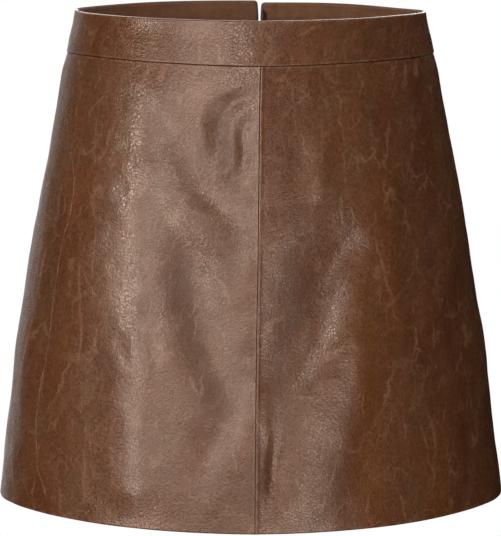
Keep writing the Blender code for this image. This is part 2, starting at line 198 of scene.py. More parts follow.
# Broad soft troughs (negative) and ridges (positive), each along a line from its upper end to its lower end.
Fold = namedtuple("Fold", "angle drop end_angle end_drop width height")
FOLDS = (
    Fold(34, 70, 40, 340, 26, 1.2),
    Fold(60, 110, 52, 230, 14, -1.0),
    Fold(-66, 150, -58, 300, 15, -1.0),
    Fold(122, 150, 136, 285, 16, -1.4),
    Fold(150, 190, 141, 330, 20, 1.3),
    Fold(158, 96, 163, 190, 10, -0.9),
    Fold(204, 150, 218, 300, 18, 1.4),
    Fold(232, 120, 222, 250, 14, -1.2),
)

# Creases that bend on their way down, from end to end: their middle at some drops, the reach of their two
# flanks, and their height, below the skirt's form where it is negative.
Crease = namedtuple("Crease", "drop angle before after height")
CREASES = (
    ((50, 1, 6, 6, 0), (58, -3, 6, 6, -1.6), (67, -7, 8, 8, -2.8), (80, -9, 10, 10, -3.6),
     (96, -9, 10, 10, -3.4), (122, -8, 9, 9, 0)),
    ((70, 0, 6, 6, 0), (83, -2, 6, 6, -1.8), (104, -2, 6, 7, -2.6), (130, -3, 7, 8, 0)),
    ((54, -29, 10, 14, 0), (76, -26, 12, 16, -0.8), (92, -22, 15, 18, -2.2), (108, -18, 17, 20, -3.8),
     (124, -14.5, 17, 21, -4.8), (138, -10, 17, 21, -4.6), (150, -6, 17, 19, -3.8),
     (164, -3.5, 16, 16, -2.8), (180, -2, 14, 14, -1.4), (198, -1.5, 12, 12, 0)),
    ((104, -30, 10, 14, 0), (130, -27, 12, 16, -1.0), (150, -24, 15, 20, -2.4), (168, -20.5, 18, 26, -4.2),
     (186, -17.5, 21, 31, -6.0), (204, -15.5, 22, 33, -7.2), (222, -14, 22, 32, -7.6),
     (240, -12, 22, 29, -7.2), (258, -10, 22, 25, -6.4), (274, -8, 22, 21, -5.4), (288, -6, 21, 18, -4.6),
     (302, -6, 18, 16, -4.0), (317, -7, 15, 14, -3.4), (332, -9, 12, 13, -2.8), (348, -10, 10, 13, -2.2),
     (364, -12, 8, 12, -1.4), (378, -14, 8, 10, 0)),
    ((130, 28, 24, 16, 0), (155, 27, 28, 20, -1.4), (172, 25, 33, 21, -3.0), (189, 22, 38, 20, -4.6),
     (206, 20, 40, 18, -5.8), (224, 18.5, 40, 16, -6.2), (240, 16.5, 38, 15, -5.8),
     (256, 14, 32, 16, -5.0), (268, 11, 26, 17, -4.2), (280, 8, 19, 18, -3.2), (294, 6.5, 13, 16, -2.4),
     (310, 6, 9, 16, -2.1), (328, 6, 7, 14, -2.2), (346, 5.5, 7, 12, -2.8), (364, 5, 7, 12, -2.6),
     (400, 4, 7, 12, -1.8)),
    ((78, 20, 11, 11, 0), (101, 20, 11, 11, 1.5), (124, 19, 11, 11, 1.3), (148, 18, 11, 11, 0)),
    ((200, -29, 28, 28, 0), (232, -28, 28, 28, 1.6), (262, -27, 30, 28, 3.2), (300, -27, 30, 28, 3.0),
     (400, -27, 30, 28, 3.0)),
    ((186, 28, 14, 22, 0), (210, 27, 18, 24, 0.8), (235, 26, 20, 24, 1.8), (270, 25, 22, 22, 2.6),
     (300, 24, 22, 20, 2.6), (325, 21, 20, 20, 2.4), (350, 18, 18, 20, 2.2), (400, 17, 18, 20, 2.0)),
    ((243, -34, 8, 8, 0), (260, -31.5, 8, 8, -0.5), (279, -28, 8, 8, 0)),
    ((234, -25.5, 4, 4, 0), (250, -24.5, 4, 4, -0.9), (266, -23, 4, 4, -0.9), (288, -22, 4, 4, 0)),
    ((215, -12, 2, 2, 0), (226, -14.5, 2, 2, 0.5), (238, -17, 2, 2, 0.5), (248, -19, 2, 2, 0)),
    ((60, 172, 7, 7, 0), (74, 170, 8, 9, -2.0), (90, 169, 9, 10, -3.0), (112, 170, 9, 10, -2.2),
     (134, 172, 9, 9, 0)),
    ((84, 150, 12, 10, 0), (98, 152, 14, 11, -1.6), (118, 156, 17, 12, -3.4), (138, 160, 18, 13, -4.4),
     (158, 164, 17, 13, -3.6), (178, 168, 14, 12, -1.8), (194, 170, 12, 12, 0)),
    ((130, 146, 10, 10, 0), (158, 150, 12, 12, -1.8), (186, 154, 15, 16, -3.8), (214, 157, 18, 18, -5.0),
     (244, 160, 19, 18, -4.8), (276, 163, 18, 16, -3.8), (306, 165, 15, 14, -2.6),
     (338, 163, 11, 12, -1.6), (366, 160, 9, 10, 0)),
    ((168, 118, 12, 14, 0), (196, 121, 14, 18, -2.4), (226, 125, 15, 21, -4.2), (258, 129, 15, 22, -4.4),
     (292, 132, 13, 18, -3.4), (326, 134, 12, 14, -2.2), (400, 136, 12, 12, -1.2)),
    ((66, 190, 8, 8, 0), (80, 192, 9, 10, -2.2), (100, 194, 10, 11, -2.8), (126, 193, 9, 10, 0)),
    ((148, 214, 14, 18, 0), (172, 210, 14, 21, -2.8), (200, 206, 14, 23, -4.8), (228, 202, 15, 21, -5.2),
     (254, 198, 16, 17, -4.4), (280, 194, 16, 12, -3.2), (312, 192, 15, 8, -2.2), (356, 191, 12, 7, -2.4),
     (400, 190, 12, 7, -1.6)),
    ((110, 232, 9, 10, 0), (140, 229, 11, 13, -2.0), (172, 225, 12, 15, -3.2), (206, 222, 13, 15, -2.8),
     (240, 220, 12, 12, -1.4), (266, 219, 10, 10, 0)),
    ((190, 238, 22, 22, 0), (240, 237, 24, 24, 2.0), (300, 236, 24, 24, 2.2), (400, 235, 24, 24, 1.8)),
    ((210, 112, 12, 12, 0), (250, 110, 13, 14, -1.8), (290, 108, 14, 14, -2.4), (340, 107, 13, 13, -1.4),
     (372, 107, 12, 12, 0)),
    ((150, 252, 12, 10, 0), (184, 254, 14, 12, -2.0), (220, 256, 15, 13, -3.0), (262, 257, 14, 12, -2.2),
     (300, 258, 12, 12, 0)),
)

# Bands of matt wax and painted shade, laid out as the creases are. The last column is how strong both are.
MATT_AND_SHADE_BANDS = (
    ((148, -25, 5, 5, 0), (162, -23, 6, 6, 0.5), (178, -20.7, 10, 10, 0.8), (187, -19.5, 12, 12, 1.0),
     (201, -18.7, 13, 13, 1.0), (217, -17.6, 13, 12, 1.0), (242, -15, 13, 12, 0.9),
     (258, -13, 11, 11, 0.8), (274, -10.7, 10, 10, 0.7), (298, -6.6, 9, 9, 0.6), (320, -7, 8, 8, 0.3),
     (345, -10, 8, 8, 0)),
    ((84, -26.5, 6, 6, 0), (98, -23.7, 8, 8, 0.7), (122, -19.3, 9, 9, 0.9), (142, -15.4, 9, 9, 0.8),
     (162, -10.3, 9, 9, 0.7), (178, -5.8, 9, 9, 0.5), (196, -4, 8, 8, 0)),
    ((128, 16, 6, 6, 0), (140, 15.5, 8, 8, 0.5), (154, 15.1, 11, 11, 0.8), (170, 13.5, 14, 14, 1.0),
     (190, 12.2, 18, 18, 1.0), (210, 11, 19, 19, 1.0), (230, 9.6, 18, 18, 1.0), (250, 8, 14, 14, 1.0),
     (270, 6.6, 10, 9, 0.9), (287, 6.1, 7, 7, 0.7), (310, 5.5, 6, 6, 0.4), (340, 5, 6, 6, 0)),
    ((54, -8, 8, 8, 0), (70, -8.3, 10, 10, 0.6), (88, -9, 12, 12, 0.8), (112, -7.5, 13, 13, 0.8),
     (130, -5.5, 12, 11, 0.6), (148, -4, 10, 10, 0)),
    ((278, -10.5, 7, 7, 0), (292, -11, 8, 8, 0.8), (306, -11, 9, 9, 0.8), (322, -12, 8, 8, 0)),
    ((290, 1.2, 4, 4, 0), (315, 1.2, 5, 5, 0.7), (360, 1.2, 6, 6, 0.8), (400, 1.2, 6, 6, 0.6)),
    ((320, 17, 6, 6, 0), (338, 18, 9, 9, 0.7), (365, 17, 9, 9, 0.7), (400, 16, 9, 9, 0.5)),
    ((150, 158, 10, 10, 0), (190, 153, 12, 12, 0.7), (240, 157, 12, 12, 0.9), (300, 160, 10, 10, 0)),
    ((160, 206, 10, 10, 0), (200, 201, 14, 14, 0.8), (240, 197, 13, 13, 0.8), (290, 192, 10, 10, 0)),
)

# Unevenness of the hide: the width and the height of a lump, from the coarsest lumps to the finest. They lie
# on a round form of this half width and half depth, stretched downwards.
LUMPS = ((27, 0.5), (12, 0.24), (6, 0.06))
LUMP_SEED = 3
LUMP_FORM = (0.16, 0.12, 0.7)
LUMP_LATTICE = 32
BAND_LUMPS = 0.35
BAND_LUMPS_REACH = 20 * MM
ZIP_LUMPS_REACH = 22 * MM
BACK_RADIUS = 0.15

# Long pale veins: their drop and angle from place to place, their half width and how far they show. The
# radius, in millimetres, turns an angle into a distance, and the fade is a share of the side length.
VEIN_RADIUS = 185
VEIN_FADE = 0.03
Vein = namedtuple("Vein", "places half_width strength")
VEINS = (
    Vein(((74, -71), (100, -65), (133, -57), (150, -56), (187, -58), (232, -59), (276, -59), (322, -60),
          (346, -59), (366, -57), (380, -54), (394, -53)), 0.8, 0.85),
    Vein(((137, -50), (164, -45), (196, -44), (213, -44)), 0.9, 0.5),
    Vein(((194, -50), (216, -48), (232, -47), (260, -45), (282, -46)), 1.6, 0.5),
    Vein(((202, -48), (214, -44), (233, -38)), 1.1, 0.5),
    Vein(((186, -68), (223, -69), (269, -71), (295, -74), (316, -77), (342, -76), (373, -72), (394, -70)),
         3.0, 0.6),
    Vein(((51, -47), (66, -49), (77, -53), (92, -53)), 1.4, 0.5),
    Vein(((318, -41), (343, -41), (391, -40)), 1.4, 0.45),
    Vein(((340, -54), (348, -49), (358, -42)), 0.9, 0.5),
    Vein(((130, 28), (137, 37), (156, 46)), 1.1, 0.4),
    Vein(((167, 33), (191, 35), (210, 36), (226, 39)), 1.6, 0.4),
    Vein(((304, 43), (328, 47), (353, 47), (376, 45)), 2.0, 0.35),
    Vein(((60, 118), (120, 112), (190, 117), (260, 110), (330, 114)), 0.9, 0.7),
    Vein(((150, 150), (210, 143), (280, 146), (340, 139)), 1.0, 0.6),
    Vein(((80, 203), (150, 210), (230, 205), (300, 212)), 0.9, 0.6),
    Vein(((120, 240), (180, 246), (260, 241), (380, 247)), 1.2, 0.7),
)

# Tint of the waxed gloss, and the painted shade in the close of a seam.
WAX_TINT = (1.0, 0.82, 0.68, 1.0)
GRAIN_SEAM_SHADE = (0.02, 0.008, 0.004)
SUEDE_SEAM_SHADE = (0.03, 0.015, 0.01)

# Stains that fade into the hide: amber where positive, olive where negative.
Stain = namedtuple("Stain", "angle drop half_angle half_drop strength")
STAINS = (
    Stain(28, 330, 4.5, 150, 1.0),
    Stain(47, 370, 5, 45, 0.7),
    Stain(37, 195, 4, 70, 0.7),
    Stain(-50, 200, 9, 120, 0.4),
    Stain(-69, 130, 7, 130, -0.9),
    Stain(74, 150, 7, 150, -0.8),
    Stain(-72, 370, 6, 60, -0.7),
    Stain(112, 300, 7, 110, 0.7),
    Stain(140, 130, 8, 60, -0.8),
    Stain(163, 320, 6, 90, 0.6),
    Stain(206, 210, 7, 120, 0.7),
    Stain(228, 330, 9, 70, -0.8),
    Stain(250, 160, 6, 90, 0.6),
)

# Half of the gap between the two ends of the waistband at the centre back.
NotchEdge = namedtuple("NotchEdge", "drop half_gap")
NOTCH = (
    NotchEdge(0, 4.4),
    NotchEdge(0.4, 3.0),
    NotchEdge(1.4, 1.9),
    NotchEdge(3, 1.45),
    NotchEdge(8, 1.1),
    NotchEdge(12.5, 0.8),
    NotchEdge(25.5, 0.8),
    NotchEdge(27, 0.05),
    NotchEdge(36, 0.02),
)

# Distance of each facing's end from the centre back, and of the zip tapes' inner edges from it.
FacingEnd = namedtuple("FacingEnd", "drop right left")
FACING_ENDS = (
    FacingEnd(0.5, 5.2, 5.2),
    FacingEnd(2, 2.8, 2.8),
    FacingEnd(5, 2.3, 3.0),
    FacingEnd(9, 2.1, 6.4),
    FacingEnd(13.5, 2.1, 6.6),
    FacingEnd(16, 3.3, 6.6),
    FacingEnd(28, 3.3, 6.6),
    FacingEnd(38.5, 3.3, 6.6),
)
TapeEdge = namedtuple("TapeEdge", "drop distance")
TAPE_EDGES = (TapeEdge(6, 3.0), TapeEdge(28, 3.0), TapeEdge(33, 2.2), TapeEdge(190, 2.2))
# The facing lies over the zip tape up to the first distance from the centre back, and on the waistband past
# the second.
FACING_RISE = (12.7 * MM, 14.1 * MM)
FACING_OVER_TAPE = 1.6 * MM
FACING_DEPTH = 1.5 * MM

# Soft boxes round the skirt: which setting they follow, how bright they are beside it, where they stand, how
# large they look from the skirt, and how far they are turned.
Light = namedtuple("Light", "name setting share azimuth elevation width height turn", defaults=(0,))
LIGHTS = (
    Light("key_light", "key", 0.9, -41, -3, 15, 34, 30),
    Light("front_light", "front", 1.25, -21.5, 14, 23, 24),
    Light("front_light_below", "front", 0.7, -21.5, -4, 23, 12),
    Light("middle_light", "middle", 1.0, -6, -2, 9, 14),
    Light("middle_light_above", "middle", 2.9, -5, 18, 10, 12),
    Light("low_light", "low", 1.0, 16, -13, 22, 24),
    Light("key_light_above", "key", 2.3, -53.5, 9.5, 7, 6),
    Light("key_light_edge", "key", 0.7, -48.5, 2.5, 6, 10),
    Light("top_light", "top", 1.0, 30, 55, 50, 30),
    Light("back_light_left", "back", 1.8, -150, 45, 50, 40),
    Light("rim_light", "back", 0.25, -150, 5, 50, 50),
    Light("back_light_right", "back", 1.8, 150, 45, 50, 40),
    Light("back_light_key", "back", 2.0, 170, 18, 16, 28),
    Light("back_light_low", "back", 1.2, -173, 8, 10, 14),
)
LIGHT_TARGET = (0, 0, -0.17)
LIGHT_DISTANCE = 2.2

# The camera's place, how many degrees it looks down, and its lens and film in millimetres.
CAMERA_PLACE = (0, -2.694, 0.235)
CAMERA_DOWN = 9.05
CAMERA_LENS = 222.4
FILM_HEIGHT = 36
CAMERA_END = 100

FLOOR_Z = -1.0
ROOM_RADIUS = 12
ROOM_BEHIND = 0.35


# ---------------------------------------------------------------- settings


def colour_setting(name, description, colour):
    return FloatVectorProperty(
        name=name, description=description, subtype="COLOR", min=0, max=1, default=colour)


def length_setting(name, description, size):
    return FloatProperty(name=name, description=description, unit="LENGTH", default=size)


def brightness_setting(name, description, level):
    return FloatProperty(name=name, description="Brightness of " + description, default=level)


class SkirtLeatherSettings(bpy.types.PropertyGroup):
    """Colour and surface of the leather."""

    brown: colour_setting("Brown", "Main colour of the grain side", (0.078, 0.0255, 0.010))
    red: colour_setting("Red brown", "Colour of the waxier patches", (0.110, 0.035, 0.0135))
    olive: colour_setting("Olive brown", "Colour of the drier patches", (0.093, 0.038, 0.0165))
    amber: colour_setting("Amber", "Colour of the warmer stains", (0.115, 0.035, 0.008))
    vein: colour_setting("Vein", "Colour of the fine pale veins and rubbed edges", (0.215, 0.105, 0.060))
    flesh: colour_setting("Flesh side", "Colour of the suede inside", (0.165, 0.095, 0.058))
    facing: colour_setting("Facing", "Colour of the facing inside the back waistband", (0.215, 0.090, 0.041))
    roughness: FloatProperty(
        name="Roughness", description="Mean roughness of the grain side", min=0.1, max=1, default=0.18,
        subtype="FACTOR")
    pebble: length_setting("Pebble size", "Width of one pebble of the grain", 2.0 * MM)
    pebble_height: length_setting("Pebble height", "Height of the grain's pebbles", 0.095 * MM)


class SkirtSewingSettings(bpy.types.PropertyGroup):
    """The row of stitches that holds the facing down."""

    pitch: length_setting("Stitch pitch", "From one stitch to the next", 3.0 * MM)
    length: length_setting("Stitch length", "Thread that shows of one stitch", 2.2 * MM)
    thread: length_setting("Thread", "Diameter of the thread", 0.42 * MM)
    drop: length_setting("Row", "How far the row lies below the top edge", 3.3 * MM)
    colour: colour_setting("Thread colour", "Colour of the thread", (0.06, 0.03, 0.018))


class SkirtZipSettings(bpy.types.PropertyGroup):
    """The zip in the centre back seam."""

    pitch: length_setting("Tooth pitch", "From one tooth to the next on the same side", 1.5 * MM)
    tape: colour_setting("Tape colour", "Colour of the woven tapes", (0.030, 0.016, 0.010))
    teeth: colour_setting("Teeth colour", "Colour of the plastic teeth", (0.050, 0.026, 0.018))
    metal: colour_setting("Metal colour", "Colour of the slider and the pull tab", (0.20, 0.125, 0.075))


class SkirtStudioSettings(bpy.types.PropertyGroup):
    """Light round the skirt."""

    key: brightness_setting("Key light", "the light at the left", 9.0)
    front: brightness_setting("Front light", "the light near the camera", 5.1)
    middle: brightness_setting("Middle lights", "the small lights in front", 3.4)
    low: brightness_setting("Low light", "the low light at the right", 6.0)
    top: brightness_setting("Top light", "the light above the camera", 1.4)
    back: brightness_setting("Back lights", "the lights behind", 2.4)
    fill: brightness_setting("Fill", "the room", 0.088)


# ---------------------------------------------------------------- the skirt's form


def column(table, name, scale=MM):
    """One column of a table, as an array in metres, or in radians with scale=radians(1)."""
    return np.array([getattr(row, name) for row in table], float) * scale


def along(table, name, drop):
    """A table's value at this drop, on straight lines between its rows."""
    return np.interp(drop, column(table, "drop"), column(table, name))


def smooth(knots, values, place):
    """Cubic through the knots with the slope of each knot's neighbours, so the curve has no corner."""
    slopes = np.gradient(values, knots)
    place = np.clip(place, knots[0], knots[-1])
    index = np.clip(np.searchsorted(knots, place) - 1, 0, len(knots) - 2)
    span = knots[index + 1] - knots[index]
    t = (place - knots[index]) / span
    rise = values[index + 1] - values[index]
    start = slopes[index] * span
    end = slopes[index + 1] * span
    return values[index] + t * start + t * t * (3 * rise - 2 * start - end) + t**3 * (start + end - 2 * rise)


def section(name, drop):
    return smooth(column(SECTIONS, "drop"), column(SECTIONS, name), drop)


def seam_angle(seam, drop):
    """Where a seam runs at this drop: front, left, back or right, in turn round the waist."""
    if seam == "left":
        return np.full_like(drop, SIDE_SEAM_ANGLE)
    if seam == "right":
        return np.full_like(drop, 2 * pi - SIDE_SEAM_ANGLE)
    shift = np.arcsin(section(f"{seam}_seam_x", drop) / section("half_width", drop))
    return shift if seam == "front" else pi - shift


def edge_lift(angle, drop):
    """Height above a level line: the top edge's, blending into the waist seam's and then the hem's."""
    angles = column(EDGE_LIFTS, "angle", radians(1))
    turned = (angle - angles[0]) % (2 * pi) + angles[0]
    edges = ("top", "waist_seam", "hem")
    top, waist, hem = (smooth(angles, column(EDGE_LIFTS, name), turned) for name in edges)
    on_band = np.clip(drop / BAND_HEIGHT, 0, 1)
    below_band = np.clip((drop - BAND_HEIGHT) / (SIDE_LENGTH - BAND_HEIGHT), 0, 1)
    return top + (waist - top) * on_band + (hem - waist) * below_band


def around(angle, middle):
    """Angle from a middle, between half a turn either way."""
    return (angle - middle + pi) % (2 * pi) - pi


def fold_height(angle, drop):
    """Sum of the soft folds and creases at a place, each fading out towards its ends."""
    angle, drop = np.broadcast_arrays(angle, drop)
    total = np.zeros(angle.shape)
    width_here = section("half_width", drop)
    for fold in FOLDS:
        along_x = radians(fold.end_angle - fold.angle) * width_here
        along_z = (fold.end_drop - fold.drop) * MM
        from_x = around(angle, radians(fold.angle)) * width_here
        from_z = drop - fold.drop * MM
        length = np.hypot(along_x, along_z)
        share = (from_x * along_x + from_z * along_z) / length**2
        across = (from_x * along_z - from_z * along_x) / length
        fade = np.exp(-((2 * share - 1) ** 4))
        total += fold.height * MM * np.exp(-((across / (fold.width * MM)) ** 2)) * fade
    for rows in CREASES:
        add_crease(total, rows, angle, drop, MM)
    return total


def add_crease(total, rows, angle, drop, unit):
    """Adds one bending crease to a total, its heights in this unit."""
    crease = tuple(Crease(*row) for row in rows)
    knots = column(crease, "drop")
    near = (drop > knots[0]) & (drop < knots[-1])
    here = drop[near]
    wide = section("half_width", here)
    turns = column(crease, "angle", radians(1))
    middle = smooth(knots, turns, here)
    lean = (smooth(knots, turns, here + MM) - middle) * wide / MM
    across = around(angle[near], middle) * wide / np.hypot(1, lean)
    height = smooth(knots, column(crease, "height", unit), here) * end_fade(here, knots)
    flanks = [smooth(knots, column(crease, side), here) for side in ("before", "after")]
    total[near] += height * np.exp(-((across / np.where(across < 0, *flanks)) ** 2))


def mattness_and_shade(angle, drop):
    """How matt the wax is at a place, and how dark the painted shade is there, from 0 to 1."""
    angle, drop = np.broadcast_arrays(angle, drop)
    total = np.zeros(angle.shape)
    for rows in MATT_AND_SHADE_BANDS:
        add_crease(total, rows, angle, drop, 1.0)
    return np.clip(total, 0, 1)


def end_fade(drop, knots):
    """From 0 at both ends of a crease to 1 a little way in, without a corner."""
    reach = CREASE_FADE * (knots[-1] - knots[0])
    inside = np.clip(np.minimum(drop - knots[0], knots[-1] - drop) / reach, 0, 1)
    return inside * inside * (3 - 2 * inside)


def lumps(places, size, seed):
    """Smooth random height between -1 and 1, on a lattice of this size in space."""
    cell = places / size
    corner = np.floor(cell).astype(int)
    share = cell - corner
    share = share**3 * (share * (share * 6 - 15) + 10)
    heights = np.random.default_rng(seed).uniform(-1, 1, (LUMP_LATTICE,) * 3)
    total = 0
    for step in np.ndindex(2, 2, 2):
        weight = np.prod(np.where(step, share, 1 - share), axis=-1)
        total = total + weight * heights[tuple(np.moveaxis((corner + step) % LUMP_LATTICE, -1, 0))]
    return total


def unevenness(angle, drop):
    """Slight lumps all over the hide, less on the stiff waistband and none beside the zip."""
    angle, drop = np.broadcast_arrays(angle, drop)
    wide, deep, long = LUMP_FORM
    form = np.stack((wide * np.sin(angle), deep * np.cos(angle), long * drop), axis=-1)
    rings = enumerate(LUMPS, LUMP_SEED)
    total = sum(height * MM * lumps(form, size * MM, seed) for seed, (size, height) in rings)
    stiff = BAND_LUMPS + (1 - BAND_LUMPS) * np.clip((drop - BAND_HEIGHT) / BAND_LUMPS_REACH, 0, 1)
    beside_zip = around(angle, seam_angle("back", drop)) * BACK_RADIUS / ZIP_LUMPS_REACH
    return total * stiff * (1 - np.exp(-(beside_zip**2)))


def stain(angle, drop):
    """How amber or olive the hide is at a place."""
    total = np.zeros(np.broadcast(angle, drop).shape)
    for spot in STAINS:
        off = around(angle, radians(spot.angle)) / radians(spot.half_angle)
        total += spot.strength * np.exp(-(off**2) - ((drop / MM - spot.drop) / spot.half_drop) ** 4)
    return total


def level_surface(angle, drop):
    """Points of the panels' outer face, before its edges are lifted."""
    depth = np.where(np.cos(angle) > 0, section("front_depth", drop), section("back_depth", drop))
    out = 1 + (fold_height(angle, drop) + unevenness(angle, drop)) / depth
    width = section("half_width", drop)
    return np.stack((width * np.sin(angle) * out, -depth * np.cos(angle) * out, TOP_Z - drop + 0 * out), -1)


def surface_frame(angle, drop):
    """The surface's points, outward normals and directions round the waist."""
    step = 1e-4
    round_waist = level_surface(angle + step, drop) - level_surface(angle - step, drop)
    low, high = np.maximum(drop - step, 0), np.minimum(drop + step, SIDE_LENGTH)
    normal = np.cross(level_surface(angle, high) - level_surface(angle, low), round_waist)
    points = level_surface(angle, drop)
    points[..., 2] += edge_lift(angle, drop)
    return points, unit(normal), unit(round_waist)


def unit(vectors):
    return vectors / np.linalg.norm(vectors, axis=-1, keepdims=True)


def band_face(drop):
    """The waistband stands proud of the panels by a small lip at its lower edge."""
    return BAND_LIP * (drop / BAND_HEIGHT) ** BAND_LIP_CURVE


def facing_rise(to_back):
    """How far the facing stands off the waistband near the centre back, where it covers the tape."""
    return np.interp(to_back, FACING_RISE, (FACING_OVER_TAPE, 0))


# ---------------------------------------------------------------- cutting and turning the walls

Patch = namedtuple("Patch", "angles drops walked to_first to_last to_top to_bottom")

# Distances from a piece's edge to the rows beside it, closer together where the edge is rolled.
TURNED_EDGE = np.array((0, 0.06, 0.16, 0.32, 0.55, 0.85, 1.3, 2.0, 3.0, 4.4)) * MM
ALLOWANCE_EDGE = np.append(TURNED_EDGE, SEAM_ALLOWANCE + np.array((-2.6, -0.4, 0.4)) * MM)
NARROW_EDGE = np.array((0, 0.25, 0.6, 1.1)) * MM


def rows_between(top, bottom, edge=TURNED_EDGE):
    """Drops of a wall's rows, closer together at its turned edges."""
    first, last = top + edge[-1], bottom - edge[-1]
    even = np.linspace(first, last, max(2, round((last - first) / GRID)) + 1)
    return np.concatenate([top + edge[:-1], even, bottom - edge[-2::-1]])


def patch(first, last, drops, first_cut=0.0, last_cut=0.0, edge=TURNED_EDGE):
    """The places of a piece between two seams, cut back from each by one distance or one for each drop."""
    start = seam_angle(first, drops) - (2 * pi if first == "right" else 0)
    end = seam_angle(last, drops)
    angles = start[:, None] + (end - start)[:, None] * np.linspace(0, 1, ARC_SAMPLES)
    walked = distance_walked(level_surface(angles, drops[:, None]))
    return place_patch(angles, walked, drops, first_cut, walked[:, -1] - last_cut, edge)


def back_patch(side, drops, side_cut, back_cut):
    """The places of a piece of one back half, and their distances from its back end and its side end."""
    if side == "left":
        places = patch("left", "back", drops, side_cut, back_cut)
        return places, places.to_last, places.to_first
    places = patch("back", "right", drops, back_cut, side_cut)
    return places, places.to_first, places.to_last


def strip(side, near, far, drops, edge):
    """The places of a narrow piece beside the centre back, from one distance to another."""
    toward_side = -1 if side == "left" else 1
    angles = seam_angle("back", drops)[:, None] + toward_side * STRIP_REACH * np.linspace(0, 1, ARC_SAMPLES)
    walked = distance_walked(level_surface(angles, drops[:, None]))
    made = place_patch(angles, walked, drops, near, far + 0 * drops, edge)
    if side == "right":
        return made
    return Patch(*(grid[:, ::-1] for grid in made))


def distance_walked(points):
    """Distance along each row of points from its first."""
    steps = np.linalg.norm(np.diff(points, axis=-2), axis=-1)
    return np.concatenate([np.zeros_like(steps[..., :1]), np.cumsum(steps, axis=-1)], axis=-1)


def place_patch(angles, walked, drops, begin, end, edge):
    """A patch whose columns lie at distances walked from begin to end in each row."""
    begin, end = np.broadcast_to(begin, drops.shape)[:, None], end[:, None]
    count = max(2, round(float(np.mean(end - begin) - 2 * edge[-1]) / GRID))
    even = begin + edge[-1] + (end - begin - 2 * edge[-1]) * np.linspace(0, 1, count + 1)
    distances = np.concatenate([begin + edge[:-1], even, end - edge[-2::-1]], axis=1)
    placed = np.array([np.interp(row, way, turn) for row, way, turn in zip(distances, walked, angles)])
    high = np.broadcast_to(drops[:, None], placed.shape)
    to_top, to_bottom = high - drops[0], drops[-1] - high
    return Patch(placed, high, distances, distances - begin, end - distances, to_top, to_bottom)


def rolled(distance, radius):
    """How far a face sinks where it is rolled in at an edge."""
    inside = np.maximum(radius - distance, 0)
    return np.sqrt(np.maximum(radius**2 - inside**2, 0)) - radius


def step_up(distance, edge, softness=0.4 * MM):
    """From 0 to 1 where the distance falls below an edge."""
    return np.clip((edge - distance) / softness + 0.5, 0, 1)


def ring_quads(one, two):
    """Quads between two rows of vertex numbers."""
    return np.stack([one[:-1], one[1:], two[1:], two[:-1]], axis=-1)


def wall(name, places, outer, inner, materials):
    """A closed wall over a patch between two offsets outwards, with its cut as UV map in metres."""
    points, normals, _ = surface_frame(places.angles, places.drops)
    outer = np.maximum(outer, inner + HAIR_GAP)
    both_faces = np.concatenate([points + normals * lift[..., None] for lift in (outer, inner)])
    rows, columns = places.angles.shape
    face, back = np.arange(2 * rows * columns).reshape(2, rows, columns)
    sheets = [np.stack([g[:-1, :-1], g[1:, :-1], g[1:, 1:], g[:-1, 1:]], axis=-1) for g in (face, back)]
    rims = [
        ring_quads(face[0], back[0]),
        ring_quads(back[-1], face[-1]),
        ring_quads(back[:, 0], face[:, 0]),
        ring_quads(face[:, -1], back[:, -1]),
    ]
    quads = [sheets[0].reshape(-1, 4), *rims, sheets[1].reshape(-1, 4)[:, ::-1]]
    piece = mesh_object(name, both_faces.reshape(-1, 3), np.concatenate(quads).tolist(), materials)
    mesh = piece.data
    inside = np.zeros(len(mesh.polygons), int)
    inside[-len(quads[-1]):] = len(materials) - 1
    mesh.polygons.foreach_set("material_index", inside)
    cut = np.stack([places.walked, places.drops], axis=-1).reshape(-1, 2)
    place_on_skirt = np.stack([places.angles, places.drops], axis=-1).reshape(-1, 2)
    set_map(mesh, "cut", np.concatenate([cut, cut]))
    set_map(mesh, "round", np.concatenate([place_on_skirt, place_on_skirt]))
    marks = {
        "fold": fold_height(places.angles, places.drops) / MM,
        "border": np.minimum.reduce([places.to_first, places.to_last, places.to_top, places.to_bottom]) / MM,
        "stain": stain(places.angles, places.drops),
        "matt": mattness_and_shade(places.angles, places.drops),
    }
    for label, values in marks.items():
        attribute = mesh.attributes.new(label, "FLOAT", "POINT")
        attribute.data.foreach_set("value", np.tile(values.ravel(), 2).astype(np.float32))
    mesh.set_sharp_from_angle(angle=WALL_SHARP)
    return piece


def mesh_object(name, vertices, faces, materials):
    """A smooth mesh object at the origin."""
    mesh = bpy.data.meshes.new(name)
    mesh.from_pydata(vertices.tolist(), [], faces)
    mesh.shade_smooth()
    for material in materials:
        mesh.materials.append(material)
    piece = bpy.data.objects.new(name, mesh)
    bpy.context.scene.collection.objects.link(piece)
    return piece


def set_map(mesh, name, places):
    """A UV map that holds each vertex's place: on the flat cut in metres, or its angle and drop."""
    corners = np.zeros(len(mesh.loops), int)
    mesh.loops.foreach_get("vertex_index", corners)
    layer = mesh.uv_layers.new(name=name)
    layer.data.foreach_set("uv", places[corners].astype(np.float32).ravel())


def dress(piece, body, slot, *nodes):
    """Lets a piece ride on its body in place of its nodes."""
    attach(piece, body)
    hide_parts(*nodes)


# ---------------------------------------------------------------- materials


